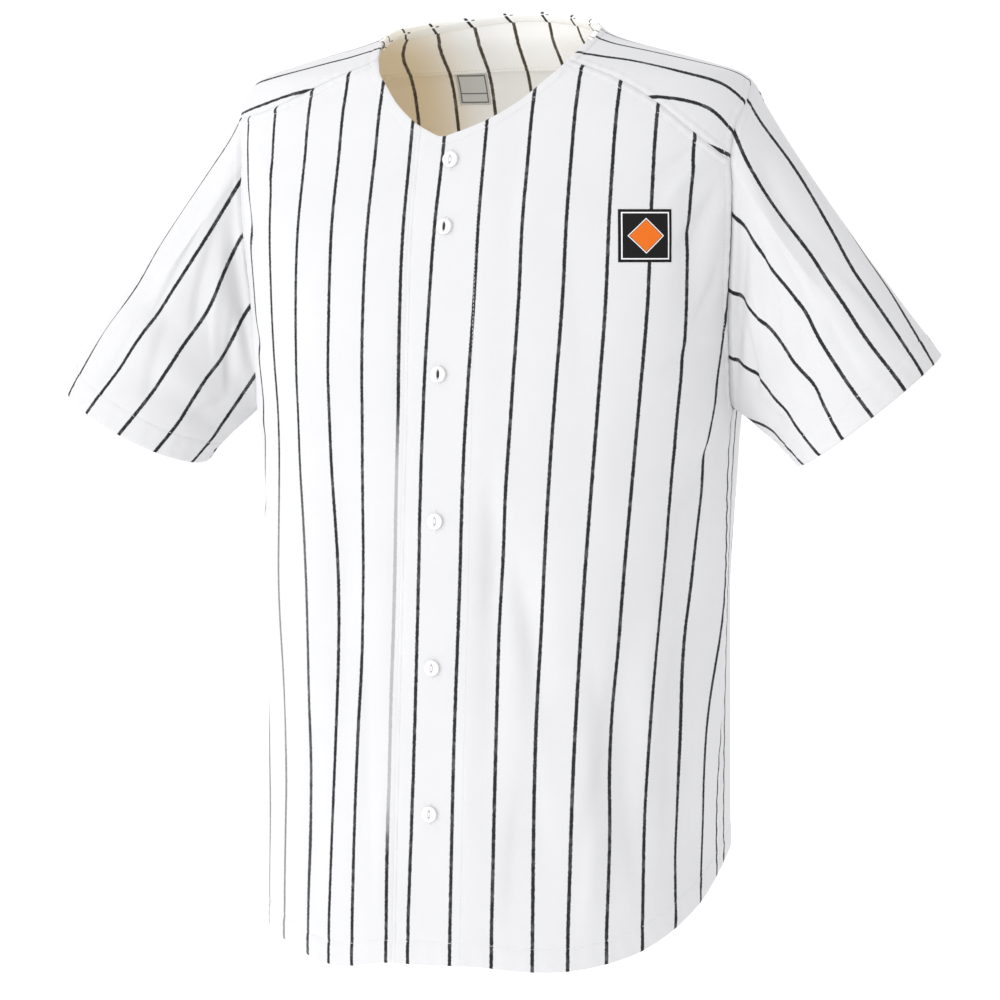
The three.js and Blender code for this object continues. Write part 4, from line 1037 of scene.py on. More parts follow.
# %% [markdown]
# Inside the neck a facing of the same cloth covers the seams, and a narrow tape of it binds the edge. Both show in
# the opening. The tape is folded over the edge like a letter U, so it is also the light line along the back neck, and
# it is cut on the bias, so that its stripes slant.

# %% Neck facing
FACING_DEPTH = Table("angle depth", [(0, 44), (22, 43), (40, 41), (58, 37), (75, 32), (90, 27), (110, 19), (130, 9)])
FACING_HALF_ANGLE, TAPE_HALF_ANGLE, FACING_THICK, FACING_HEM = 130, 128, 0.8, 3
NECK_POINTS = 221


def facing_lift(height):
    """How far inside the torso the facing lies; it hangs a little freer lower down."""
    return -2.9 - 2.0 * smooth((14 - height) / 22)


def bias_count(angle, height, lean):
    """Counts the stripes of cloth that is cut so that they lean, which is given as a way across."""
    return (round_from_back(angle, height) - FACING_SHIFT - lean) / BACK_PITCH


around = np.linspace(180 - FACING_HALF_ANGLE, 180 + FACING_HALF_ANGLE, NECK_POINTS)
down = stops(24, 44)[::-1]
facing_angle = around[None, :] * np.ones((len(down), 1))
facing_height = neck_height(around)[None, :] - FACING_DEPTH.read("depth", abs(around - 180))[None, :] * down[:, None]
facing_out, facing_plain = body_normal(facing_angle, facing_height), body_surface(facing_angle, facing_height)
far_low, along_low = nearest(facing_plain, body_surface(around, facing_height[0]))
facing_rise = (facing_lift(facing_height) - turned_edge(far_low, FACING_HEM)
               - puckered(far_low, along_low, pitch=13, rise=0.3, reach=7))
facing_grid = facing_plain + facing_out * facing_rise[..., None]
facing_inner = facing_grid - facing_out * FACING_THICK
facing_count = bias_count(facing_angle, facing_height, FACING_LEAN * (neck_height(facing_angle) - facing_height))
facing_piece = cloth_mesh("cloth_neck_facing", facing_grid, facing_inner, facing_count, facing_height,
                          (inside_cloth, inside_cloth), spread=stripe_spread(facing_grid, facing_count),
                          ink=np.ones_like(facing_height))
panels["cloth_neck_facing"] = {"piece": facing_piece, "outer": facing_inner, "facing": -facing_out,
                               "far": {"low": far_low}, "area": cloth_area(facing_grid)}
print("facing area", round(panels["cloth_neck_facing"]["area"], 4), "m2")

# %% [markdown]
# The tape is a strip whose cross-section is given point by point, each with its drop below the edge of the neck and its
# lift from the torso: from just outside the edge, over it and down inside, where it lies on the facing. It grows
# narrower towards its two ends.

# %% Neck tape
TAPE_ROUTE = [(3.4, 0.45), (2.2, 0.75), (0.9, 0.85), (0, 0.8), (-0.7, 0.3), (-0.9, -0.9), (-0.7, -2.2), (0, -3.2),
              (1.2, -3.7), (2.8, -3.9), (4.4, -3.9), (5.6, -3.8), (6.5, -3.5)]
TAPE_BIAS, TAPE_THICK, TAPE_CLEAR, ON_FACING = 0.8, 0.4, 0.6, -3.5
NARROWED, NARROW_FROM, NARROW_OVER = 0.6, 66, 36
tape_drop, tape_lift = (np.array(column, float)[:, None] for column in zip(*TAPE_ROUTE))
around = np.linspace(180 - TAPE_HALF_ANGLE, 180 + TAPE_HALF_ANGLE, NECK_POINTS)
tape_inside = tape_lift < ON_FACING
tape_drop = tape_drop * (1 - NARROWED * smooth((abs(around - 180) - NARROW_FROM) / NARROW_OVER))[None, :]
tape_angle = around[None, :] * np.ones((len(TAPE_ROUTE), 1))
tape_height = neck_height(tape_angle) - tape_drop
tape_out = body_normal(tape_angle, tape_height)
tape_rise = np.where(tape_inside, facing_lift(tape_height) - FACING_THICK - TAPE_CLEAR, tape_lift)
tape_grid = body_surface(tape_angle, tape_height) + tape_out * tape_rise[..., None]
tape_facing = unit(np.cross(np.gradient(tape_grid, axis=1), np.gradient(tape_grid, axis=0)))
tape_facing *= np.sign((tape_facing[1] * tape_out[1]).sum())
tape_count = bias_count(tape_angle, tape_height, TAPE_BIAS * (tape_drop - TAPE_ROUTE[-1][0]))
tape_piece = cloth_mesh("neck_tape", tape_grid, tape_grid - tape_facing * TAPE_THICK, tape_count, tape_height,
                        (tape_cloth, tape_cloth), spread=np.ones_like(tape_height), ink=np.ones_like(tape_height))
panels["neck_tape"] = {"piece": tape_piece, "area": cloth_area(tape_grid)}
print("tape", round(panels["neck_tape"]["area"] * 1e4, 1), "cm2")

# %% [markdown]
# The sewing thread is spun polyester: soft, slightly hairy and barely glossy. Its twist shows as fine slanting ribs,
# which are drawn at 0.4 mm because the real 0.2 mm ones would vanish.

# %% Thread materials
RIB_PITCH, WAVES_PER_UNIT = 0.4, 3.2  # a wave texture has about 3.2 waves to a unit at a scale of 1


def thread_finish(name, shade, shade_low):
    material, tree, shader = new_material(name, Roughness=0.85, Specular_IOR_Level=0.25, Sheen_Weight=0.05)
    place = add(tree, "ShaderNodeTexCoord").outputs["Object"]
    ribs = add(tree, "ShaderNodeTexWave", {"Vector": place, "Scale": 1 / (RIB_PITCH * MM) / WAVES_PER_UNIT,
               "Distortion": 1.5}, bands_direction="DIAGONAL").outputs["Fac"]
    soft = add(tree, "ShaderNodeTexNoise", {"Vector": place, "Scale": 1 / (9 * MM), "Detail": 3.0}).outputs["Fac"]
    colour = add(tree, "ShaderNodeMix", {SHARE: soft, FIRST: linear(shade), SECOND: linear(shade_low)},
                 data_type="RGBA")
    bump = add(tree, "ShaderNodeBump", {"Height": ribs, "Strength": 0.35, "Distance": 0.08 * MM})
    feed(tree, shader, {"Base Color": colour, "Normal": bump})
    return material


white_thread = thread_finish("Spun polyester thread, white", "#f1f1f3", "#e2e2e6")
# Painted shade: the same thread painted cream, for where it lies in the shade inside the neck and on the label.
painted_shade_thread = thread_finish("Spun polyester thread, in the shade", "#e9dfc8", "#d8ccb0")
dark_thread = thread_finish("Spun polyester thread, black", "#2b2a2c", "#434145")
print("threads:", white_thread.name, "/", painted_shade_thread.name, "/", dark_thread.name)

# %% [markdown]
# Top stitching is a row of short, plump dashes of thread, one every 3 mm. A Geometry Nodes tree makes all of it: it
# resamples a line at the stitch pitch, sets a low-polygon bead on each point, lays it along the line and flat on the
# cloth, and turns each one by a tiny random angle. The same tree sews the buttonholes, with its beads turned across.

# %% The stitching tree
STITCH_PITCH, STITCH_LENGTH, THREAD_THICK, WOBBLE, SEED = 3.0, 2.3, 0.38, 0.09, 11
TREE_INPUTS = {"Lines": ("Geometry", None), "Pitch": ("Float", STITCH_PITCH * MM),
               "Stitch length": ("Float", STITCH_LENGTH * MM), "Thread thickness": ("Float", THREAD_THICK * MM),
               "Turned across": ("Float", 0.0), "Wobble": ("Float", WOBBLE), "Seed": ("Int", SEED),
               "Thread": ("Material", None)}
# A Random Value node keeps sockets for every type; these are the numbers of its lowest and highest value and its seed.
LOWEST, HIGHEST, RANDOM_SEED = 2, 3, 8


def stitching_tree():
    tree = bpy.data.node_groups.new("Row of stitches", "GeometryNodeTree")
    for name, (kind, value) in TREE_INPUTS.items():
        socket = tree.interface.new_socket(name, in_out="INPUT", socket_type="NodeSocket" + kind)
        if value is not None:
            socket.default_value = value
    tree.interface.new_socket("Stitches", in_out="OUTPUT", socket_type="NodeSocketGeometry")
    given = add(tree, "NodeGroupInput").outputs
    curve = add(tree, "GeometryNodeMeshToCurve", [given["Lines"]])
    points = add(tree, "GeometryNodeResampleCurve", {"Curve": curve, "Length": given["Pitch"]}, mode="LENGTH")
    tangent = add(tree, "GeometryNodeInputTangent")
    facing = add(tree, "GeometryNodeInputNamedAttribute", {"Name": "facing"}, data_type="FLOAT_VECTOR")
    lie = add(tree, "FunctionNodeAxesToRotation", [facing, tangent], primary_axis="Z", secondary_axis="X")
    low = add(tree, "ShaderNodeMath", [given["Wobble"], -1.0], operation="MULTIPLY")
    vary = add(tree, "FunctionNodeRandomValue", {LOWEST: low, HIGHEST: given["Wobble"], RANDOM_SEED: given["Seed"]},
               data_type="FLOAT")
    angle = add(tree, "ShaderNodeMath", [vary, given["Turned across"]], operation="ADD")
    turn = add(tree, "FunctionNodeEulerToRotation", [add(tree, "ShaderNodeCombineXYZ", {"Z": angle})])
    way = add(tree, "FunctionNodeRotateRotation", [lie, turn], rotation_space="LOCAL")
    bead = add(tree, "GeometryNodeMeshUVSphere", {"Segments": 6, "Rings": 4, "Radius": 0.5})
    thick = given["Thread thickness"]
    size = add(tree, "ShaderNodeCombineXYZ", [given["Stitch length"], thick, thick])
    bead = add(tree, "GeometryNodeTransform", {"Geometry": bead, "Scale": size})
    bead = add(tree, "GeometryNodeSetShadeSmooth", [bead])
    row = add(tree, "GeometryNodeInstanceOnPoints", {"Points": points, "Instance": bead, "Rotation": way})
    real = add(tree, "GeometryNodeRealizeInstances", [row])
    done = add(tree, "GeometryNodeSetMaterial", {"Geometry": real, "Material": given["Thread"]})
    add(tree, "NodeGroupOutput", [done])
    return tree


stitching = stitching_tree()
print("stitching tree:", len(stitching.nodes), "nodes")

# %% [markdown]
# The lines to sew on are read off the panels: along each grid line, the place where the distance to a seam passes
# the wanted one. A row of stitches names a seam, its distance from it in millimetres, and the panel's edge.

# %% Lines to sew on
SEWN_LIFT, AT_SEAM, SHORTEST_LINE = 0.12, 1, 3
NECK_ROW, HEM_ROW, CUFF_ROW = ("neck", 5.8, "top"), ("hem", 17.6, "bottom"), ("cuff", 19.6, "top")
FRONT_ROWS = [NECK_ROW, ("saddle", TOP_STITCH, "top"), ("armhole", TOP_STITCH, "end"), HEM_ROW]
PLACKET_ROWS = [("buttons", PLACKET_EDGE, "start"), ("buttons", 56, "start")]
SADDLE_ROWS = [NECK_ROW, ("armhole", TOP_STITCH, "bottom")]
BACK_ROWS = [NECK_ROW, ("left_saddle", TOP_STITCH, "top"), ("right_saddle", TOP_STITCH, "top"),
             ("left_armhole", TOP_STITCH, "start"), ("right_armhole", TOP_STITCH, "end"), HEM_ROW]
ROWS = {"cloth_front_left": FRONT_ROWS + PLACKET_ROWS, "cloth_front_right": FRONT_ROWS, "cloth_back": BACK_ROWS,
        "cloth_saddle_left": SADDLE_ROWS, "cloth_saddle_right": SADDLE_ROWS,
        "cloth_sleeve_left": [CUFF_ROW], "cloth_sleeve_right": [CUFF_ROW],
        "cloth_neck_facing": [("low", FACING_HEM, "bottom")]}


def line_inside(panel, title, away, edge):
    """The lines on a panel that keep a set distance in millimetres from one of its seams."""
    outer, facing, far = panel["outer"], panel["facing"], panel["far"][title]
    if edge in ("bottom", "top"):
        outer, facing, far = outer.transpose(1, 0, 2), facing.transpose(1, 0, 2), far.T
    if edge in ("top", "end"):
        outer, facing, far = outer[:, ::-1], facing[:, ::-1], far[:, ::-1]
    lines, line = [], []
    for points, ways, distance in zip(outer, facing, far):
        k = int(np.argmax(distance > away))
        if k == 0 or distance[0] > AT_SEAM:
            lines, line = lines + [line], []
            continue
        share = (away - distance[k - 1]) / (distance[k] - distance[k - 1])
        way = mix(ways[k - 1], ways[k], share)
        line.append((mix(points[k - 1], points[k], share) + way * SEWN_LIFT, way))
    return [line for line in lines + [line] if len(line) > SHORTEST_LINE]


print("rows of stitches:", sum(len(rows) for rows in ROWS.values()))

# %% [markdown]
# The stitching tree runs along those lines. Its result is made a plain mesh, because an export keeps meshes and not
# modifiers. The thread is white outside; inside the neck it is painted cream, as painted shade, where it lies in the
# shade.

# %% Sewing
def sew(name, lines, thread, **sizes):
    """Runs the stitching tree along lines of places and facing ways, and keeps its result as a plain mesh."""
    places, ways = (np.array([point[k] for line in lines for point in line]) for k in (0, 1))
    edges, first = [], 0
    for line in lines:
        edges += [(i, i + 1) for i in range(first, first + len(line) - 1)]
        first += len(line)
    guide = bpy.data.meshes.new(name)
    guide.from_pydata((places * MM).tolist(), edges, [])
    guide.attributes.new("facing", "FLOAT_VECTOR", "POINT").data.foreach_set("vector", ways.ravel())
    piece = put(name, guide)
    modifier = piece.modifiers.new("Stitches", "NODES")
    modifier.node_group = stitching
    wanted = {"Thread": thread, **{size.replace("_", " "): value for size, value in sizes.items()}}
    for item in stitching.interface.items_tree:
        if item.in_out == "INPUT" and item.name in wanted:
            modifier[item.identifier] = wanted[item.name]
    made = bpy.data.meshes.new_from_object(piece.evaluated_get(bpy.context.evaluated_depsgraph_get()))
    piece.modifiers.remove(modifier)
    piece.data = made
    made.name = name
    print(name, len(made.polygons), "faces")
    return piece


stitches = {}
for name, rows in ROWS.items():
    lines = [line for row in rows for line in line_inside(panels[name], *row)]
    if rows == [CUFF_ROW]:
        lines = [line + line[:1] for line in lines]
    thread = painted_shade_thread if name == "cloth_neck_facing" else white_thread
    stitches[name] = sew(name.replace("cloth", "stitches"), lines, thread)

# %% [markdown]
# The buttons are cast polyester resin, turned to the fish-eye form: a raised rim and, across the face, a pointed
# hollow with two thread holes. Cutting them with Boolean modifiers would leave rough edges, so the face is a height
# that is worked out for each point.

# %% Button face
BUTTON_RADIUS, BUTTON_HEIGHTS = 6.2, (-101, -152, -264.5, -377, -489.5, -602)
BUTTON_LIFT, BUTTON_TOP, BUTTON_SEGMENTS, FACE_RINGS = 2.2, 1.85, 64, 24
BUTTON_EDGE = ((6.08, 1.9), (BUTTON_RADIUS, 1.4), (BUTTON_RADIUS, 0.8), (6.0, 0.3), (5.6, 0.05), (4.8, 0))
RIM_RISE, RIM_AT, RIM_WIDE = 0.65, 5.25, 0.7
EYE_HALF_LONG, EYE_HALF_WIDE, EYE_DEEP = 4.7, 1.8, 0.75
HOLE_APART, HOLE_RADIUS, HOLE_DEEP = 1.9, 0.75, 1.0
EYE_SOFT, HOLE_SOFT = 1.2, 0.3


def button_face(x, y):
    """How high the face is at a place, and how much of the hollow eye there is."""
    half_wide = np.maximum(EYE_HALF_WIDE * (1 - (y / EYE_HALF_LONG) ** 2), 1e-3)
    eye = np.where(abs(y) < EYE_HALF_LONG, np.clip(1 - (x / half_wide) ** 2, 0, 1), 0)
    eye = smooth(eye * smooth((EYE_HALF_LONG - abs(y)) / EYE_SOFT))
    hole = smooth((HOLE_RADIUS + HOLE_SOFT / 2 - np.hypot(x, abs(y) - HOLE_APART)) / HOLE_SOFT)
    rim = RIM_RISE * np.exp(-((np.hypot(x, y) - RIM_AT) / RIM_WIDE) ** 2)
    return BUTTON_TOP + rim - EYE_DEEP * eye - HOLE_DEEP * hole, eye


print("the hollow is", round(BUTTON_TOP - float(button_face(np.array(0.0), np.array(0.0))[0]), 2), "mm deep")

# %% [markdown]
# That face is laid on rings of points, from the middle to the rim and round to the back, and a strand of thread is a
# narrow tube of the same kind. Both are lists of quads between one ring and the next.

# %% Button and thread shapes
def ring_faces(rings, sides):
    """The quads between rings of points that have the same number of sides."""
    return [(r * sides + i, r * sides + (i + 1) % sides, (r + 1) * sides + (i + 1) % sides, (r + 1) * sides + i)
            for r in range(rings - 1) for i in range(sides)]


def button_mesh():
    turn = np.linspace(0, 2 * np.pi, BUTTON_SEGMENTS, endpoint=False)
    rings = []
    for radius in np.linspace(0.25, 5.85, FACE_RINGS):
        x, y = radius * np.cos(turn), radius * np.sin(turn)
        rings.append(np.stack([x, y, *button_face(x, y)], 1))
    for radius, z in BUTTON_EDGE:
        rings.append(np.stack([radius * np.cos(turn), radius * np.sin(turn), 0 * turn + z, 0 * turn], 1))
    top, under = len(rings) * BUTTON_SEGMENTS, len(rings) * BUTTON_SEGMENTS + 1
    middle = [0, 0, *(float(part) for part in button_face(np.array(0.0), np.array(0.0)))]
    points = np.concatenate([*rings, [middle, [0, 0, 0, 0]]])
    faces = [(a, d, c, b) for a, b, c, d in ring_faces(len(rings), BUTTON_SEGMENTS)]
    last = top - BUTTON_SEGMENTS
    for i in range(BUTTON_SEGMENTS):
        k = (i + 1) % BUTTON_SEGMENTS
        faces += [(top, i, k), (under, last + k, last + i)]
    return points, faces


def tube(path, radius, sides=8):
    """A strand of thread along a path of points."""
    path = np.array(path, float)
    ahead = unit(np.gradient(path, axis=0))
    across = unit(np.cross(ahead, [1.0, 0.1, 0.2]))
    up = np.cross(ahead, across)
    turn = np.linspace(0, 2 * np.pi, sides, endpoint=False)[None, :, None]
    points = path[:, None] + radius * (np.cos(turn) * across[:, None] + np.sin(turn) * up[:, None])
    count = len(path) * sides
    ends = [tuple(range(sides))[::-1], tuple(range(count - sides, count))]
    return points.reshape(-1, 3), ring_faces(len(path), sides) + ends


button_points, button_faces = button_mesh()
print("a button has", len(button_faces), "faces")

# %% [markdown]
# Cast resin is glossy and very slightly pearly: its white is clouded with a warmer tone. The hollow is painted a little
# darker, as painted shade. One finish serves all six buttons.

# %% Button resin
def cast_resin(name, shade, cloud, hollow):
    material, tree, shader = new_material(name, Roughness=0.22, IOR=1.55, Coat_Weight=0.25, Coat_Roughness=0.1)
    place = add(tree, "ShaderNodeTexCoord").outputs["Object"]
    swirl = add(tree, "ShaderNodeTexNoise", {"Vector": place, "Scale": 1 / (5 * MM), "Detail": 2.0,
                "Distortion": 1.2}).outputs["Fac"]
    body = add(tree, "ShaderNodeMix", {SHARE: swirl, FIRST: linear(shade), SECOND: linear(cloud)}, data_type="RGBA")
    # Painted shade: the hollow of the eye is mixed towards a darker colour.
    eye = add(tree, "ShaderNodeAttribute", attribute_name="eye").outputs["Fac"]
    eye = add(tree, "ShaderNodeMath", [eye, 0.8], operation="MULTIPLY")
    colour = add(tree, "ShaderNodeMix", {SHARE: eye, FIRST: body, SECOND: linear(hollow)}, data_type="RGBA")
    fine = add(tree, "ShaderNodeTexNoise", {"Vector": place, "Scale": 1 / (0.8 * MM), "Detail": 1.0}).outputs["Fac"]
    bump = add(tree, "ShaderNodeBump", {"Height": fine, "Strength": 0.05, "Distance": 0.05 * MM})
    feed(tree, shader, {"Base Color": colour, "Normal": bump})
    return material


# The last colour of each resin is the painted shade in the hollow.
pale_resin = cast_resin("Cast polyester resin, white", "#f2f1ef", "#e4e4e6", "#c9c8c6")
painted_shade_eye_resin = cast_resin("Cast polyester resin, shaded eye", "#f0efed", "#dfdfe2", "#6d6b6c")
print("resin:", pale_resin.name, "/", painted_shade_eye_resin.name)

# %% [markdown]
# A button's points are turned from its own small frame to its place on the centre line of the front. Three strands
# of thread rise out of one hole, cross the middle of the hollow and go down the other, and they are part of its mesh.
# On the second and third button the thread is black, and the painted shade in the hollow is darker.

# %% Buttons in place
STRANDS, STRAND_RADIUS, STRAND_GATHER = (-0.5, 0.0, 0.5), 0.27, 0.15
STRAND_PATH = [(-HOLE_APART - 0.05, 0.7), (-HOLE_APART, 1.1), (-HOLE_APART + 0.35, 1.42), (-0.8, 1.5), (0, 1.52),
               (0.8, 1.5), (HOLE_APART - 0.35, 1.42), (HOLE_APART, 1.1), (HOLE_APART + 0.05, 0.7)]
BLACK_THREAD = (2, 3)


def placed(points, at_height, lift):
    """Turns points from a button's own frame (x to the wearer's left, y up, z out) to the jersey's."""
    middle, height = np.array(0.0), np.array(float(at_height))
    out = body_normal(middle, height)
    up = unit(np.array([0, 0, 1.0]) - out * out[2])
    side = np.cross(up, out)
    centre = body_surface(middle, height) + out * lift
    return centre + points[:, :1] * side + points[:, 1:2] * up + points[:, 2:3] * out


buttons = []
for number, at_height in enumerate(BUTTON_HEIGHTS, 1):
    points, faces = placed(button_points, at_height, BUTTON_LIFT), list(button_faces)
    for strand in STRANDS:
        path = [(strand * (1 - STRAND_GATHER * abs(y) / HOLE_APART), y, z) for y, z in STRAND_PATH]
        more, more_faces = tube(path, STRAND_RADIUS)
        faces += [tuple(i + len(points) for i in face) for face in more_faces]
        points = np.concatenate([points, placed(more, at_height, BUTTON_LIFT)])
    eyes = [*button_points[:, 3], *[0.0] * (len(points) - len(button_points))]
    slots = [0] * len(button_faces) + [1] * (len(faces) - len(button_faces))
    mesh = bpy.data.meshes.new(f"shirt_button_{number}")
    mesh.from_pydata((points * MM).tolist(), [], faces)
    mesh.attributes.new("eye", "FLOAT", "POINT").data.foreach_set("value", eyes)
    for finish in (painted_shade_eye_resin, dark_thread) if number in BLACK_THREAD else (pale_resin, white_thread):
        mesh.materials.append(finish)
    mesh.polygons.foreach_set("material_index", slots)
    mesh.polygons.foreach_set("use_smooth", [True] * len(faces))
    buttons.append(put(mesh.name, mesh))
print("buttons at", BUTTON_HEIGHTS)

# %% [markdown]
# Each buttonhole is an upright slit, edged with close satin stitches. Only its two ends show beyond the button. Its
# path is a long oval laid on the cloth, and the stitching tree turns its beads across it.

# %% Buttonholes
SLIT_HALF_LONG, SLIT_HALF_WIDE, SLIT_POINTS, THREAD_LIFT = 8.4, 1.0, 49, 0.1
front_left = panels["cloth_front_left"]["piece"]
bpy.context.view_layer.update()


def on_cloth(piece, points, lift):
    """Lays points in millimetres on a piece of cloth; gives places and the ways that the cloth faces there."""
    laid = []
    for point in points:
        _, place, way, _ = piece.closest_point_on_mesh(Vector(point) * MM)
        laid.append((np.array(place) / MM + np.array(way) * lift, np.array(way)))
    return laid


turn = np.linspace(0, 2 * np.pi, SLIT_POINTS)
oval = np.stack([SLIT_HALF_WIDE * np.sin(turn), SLIT_HALF_LONG * np.cos(turn), 0 * turn], 1)
ovals = [on_cloth(front_left, placed(oval, at_height, LAYER + 1), THREAD_LIFT) for at_height in BUTTON_HEIGHTS]
buttonholes = sew("buttonhole_stitches", ovals, white_thread, Pitch=0.75 * MM, Stitch_length=1.7 * MM,
                  Thread_thickness=0.55 * MM, Turned_across=math.pi / 2, Wobble=0.12)

# %% [markdown]
# The chest print is a thin layer of ink with a raised edge, and it follows the cloth. Its design is a plain diamond in
# a framed black square. It is drawn from its own UV map, where both sides run from 0 to 1.

# %% Chest print
PRINT_CORNERS = {"low": ((37.75, -178.5), (51.0, -178.5)), "high": ((36.25, -138.5), (49.0, -138.5))}
PRINT_STOPS, INK_LIFT, INK_THICK = 56, 0.28, 0.2
DIAMOND_HALF, DIAMOND_RIM, FRAME_LINE, LINE_HALF = 0.3, 0.325, 0.435, 0.012


def square_chart(tree):
    """The chart of a square piece, split, and how far a place is from its middle along each side."""
    chart = add(tree, "ShaderNodeUVMap", uv_map="Cloth")
    sides = add(tree, "ShaderNodeSeparateXYZ", [chart]).outputs
    apart = [add(tree, "ShaderNodeMath", [sides[k], 0.5], operation="SUBTRACT") for k in (0, 1)]
    return chart, sides, [add(tree, "ShaderNodeMath", [way], operation="ABSOLUTE") for way in apart]


def printed_ink(name, black, black_shade, orange, white):
    material, tree, shader = new_material(name, Roughness=0.6, IOR=1.5, Specular_IOR_Level=0.22)
    _, _, (u, v) = square_chart(tree)
    diamond = add(tree, "ShaderNodeMath", [u, v], operation="ADD")
    square = add(tree, "ShaderNodeMath", [u, v], operation="MAXIMUM")
    inside = add(tree, "ShaderNodeMath", [diamond, DIAMOND_HALF], operation="LESS_THAN")
    rim = add(tree, "ShaderNodeMath", [diamond, DIAMOND_RIM, LINE_HALF], operation="COMPARE")
    frame_line = add(tree, "ShaderNodeMath", [square, FRAME_LINE, LINE_HALF], operation="COMPARE")
    lines = add(tree, "ShaderNodeMath", [rim, frame_line], operation="MAXIMUM")
    place = add(tree, "ShaderNodeTexCoord").outputs["Object"]
    grain = add(tree, "ShaderNodeTexNoise", {"Vector": place, "Scale": 1 / (1.4 * MM), "Detail": 2.0}).outputs["Fac"]
    colour = add(tree, "ShaderNodeMix", {SHARE: grain, FIRST: linear(black), SECOND: linear(black_shade)},
                 data_type="RGBA")
    for mask, shade in ((inside, orange), (lines, white)):
        colour = add(tree, "ShaderNodeMix", {SHARE: mask, FIRST: colour, SECOND: linear(shade)}, data_type="RGBA")
    bump = add(tree, "ShaderNodeBump", {"Height": grain, "Strength": 0.2, "Distance": 0.06 * MM})
    feed(tree, shader, {"Base Color": colour, "Normal": bump})
    return material


share = np.linspace(0, 1, PRINT_STOPS)
lower, upper = (np.array(PRINT_CORNERS[k], float) for k in ("low", "high"))
places = np.array([mix(mix(*lower, u), mix(*upper, u), v) for v in share for u in share])
laid = on_cloth(front_left, body_surface(places[:, 0], places[:, 1]), INK_LIFT)
ink_outer, ink_facing = (np.array([point[k] for point in laid]).reshape(PRINT_STOPS, PRINT_STOPS, 3) for k in (0, 1))
plastisol = printed_ink("Screen-printed plastisol ink", "#060607", "#0d0d0e", "#de6c14", "#ededee")
print_u, print_v = np.meshgrid(share, share)
print_piece = cloth_mesh("chest_print", ink_outer, ink_outer - ink_facing * INK_THICK, print_u / (STRIPE_PITCH * MM),
                         print_v / MM, (plastisol, plastisol))
print("print is", (np.ptp(ink_outer.reshape(-1, 3), axis=0)).round(1).tolist(), "mm")

# %% [markdown]
# The label inside the back is woven satin, folded under and stitched all round. It is left blank, with a woven border
# and one cross line only. Satin is smoother than the cloth and catches the light along its floats.

# %% Label
LABEL_SIDE, LABEL_ACROSS, LABEL_TOP, LABEL_LIFT, LABEL_BOW, LABEL_THICK = 26, -57, -26, -2.0, 0.5, 0.6
BORDER_AT, BORDER_HALF, BAR_AT, BAR_HALF = 0.42, 0.022, 0.36, 0.02
LABEL_SEAM, SEAM_STOPS, FROM_INSIDE = (0.05, 0.95), 12, 6
FLOATS = 12.0  # this sets the floats about 0.7 mm apart; real ones, about 0.3 mm apart, would vanish


def on_label(u, v):
    """The angle and height on the torso of a place on the label, whose sides run from 0 to 1."""
    height = LABEL_TOP - LABEL_SIDE * (1 - v)
    return 180 - angle_across(LABEL_ACROSS + LABEL_SIDE * (u - 0.5), height), height


def woven_satin(name, shade, shade_low, border):
    material, tree, shader = new_material(name, Roughness=0.5, Anisotropic=0.4, Sheen_Weight=0.15)
    chart, sides, (u, v) = square_chart(tree)
    edge = add(tree, "ShaderNodeMath", [u, v], operation="MAXIMUM")
    edge = add(tree, "ShaderNodeMath", [edge, BORDER_AT, BORDER_HALF], operation="COMPARE")
    bar = add(tree, "ShaderNodeMath", [sides["Y"], BAR_AT, BAR_HALF], operation="COMPARE")
    within = add(tree, "ShaderNodeMath", [u, BORDER_AT], operation="LESS_THAN")
    bar = add(tree, "ShaderNodeMath", [bar, within], operation="MULTIPLY")
    lines = add(tree, "ShaderNodeMath", [edge, bar], operation="MAXIMUM")
    floats = add(tree, "ShaderNodeTexWave", {"Vector": chart, "Scale": FLOATS, "Distortion": 0.8},
                 bands_direction="X").outputs["Fac"]
    ground = add(tree, "ShaderNodeMix", {SHARE: floats, FIRST: linear(shade), SECOND: linear(shade_low)},
                 data_type="RGBA")
    colour = add(tree, "ShaderNodeMix", {SHARE: lines, FIRST: ground, SECOND: linear(border)}, data_type="RGBA")
    bump = add(tree, "ShaderNodeBump", {"Height": floats, "Strength": 0.3, "Distance": 0.08 * MM})
    feed(tree, shader, {"Base Color": colour, "Normal": bump})
    return material


satin = woven_satin("Woven satin label", "#dcdedf", "#cfd1d3", "#6f757a")
share = stops(24, LABEL_SIDE * 2)
label_u, label_v = np.meshgrid(share, share)
label_place = on_label(label_u, label_v)
label_out, bow = body_normal(*label_place), np.sin(np.pi * share)
label_grid = body_surface(*label_place) + label_out * (LABEL_LIFT - LABEL_BOW * bow[:, None] * bow[None, :])[..., None]
label_piece = cloth_mesh("satin_label", label_grid, label_grid + label_out * LABEL_THICK,
                         label_u / (STRIPE_PITCH * MM), label_v / MM, (satin, satin))
panels["satin_label"] = {"piece": label_piece, "area": cloth_area(label_grid)}
low, high = LABEL_SEAM
corners = np.array([(low, low), (high, low), (high, high), (low, high), (low, low)])
ring = [np.linspace(a, b, SEAM_STOPS, endpoint=False) for a, b in zip(corners[:-1], corners[1:])]
ring_place = on_label(*np.concatenate([*ring, corners[-1:]]).T)
bpy.context.view_layer.update()
label_line = on_cloth(label_piece, body_surface(*ring_place) - FROM_INSIDE * body_normal(*ring_place), THREAD_LIFT)
stitches["satin_label"] = sew("stitches_label", [label_line], painted_shade_thread, Pitch=2.2 * MM, Stitch_length=1.6 * MM,
                              Thread_thickness=0.4 * MM)

# %% [markdown]
# The studio: a pale floor well below the hem, lit from within like a photographer's white table, a white surround, and
# soft lamps. The photograph is lit from the front and the wearer's right, and its whites are nearly blown out, so the
# key lamp is large and stands on that side, with a weaker lamp low down for the undersides of the sleeves.

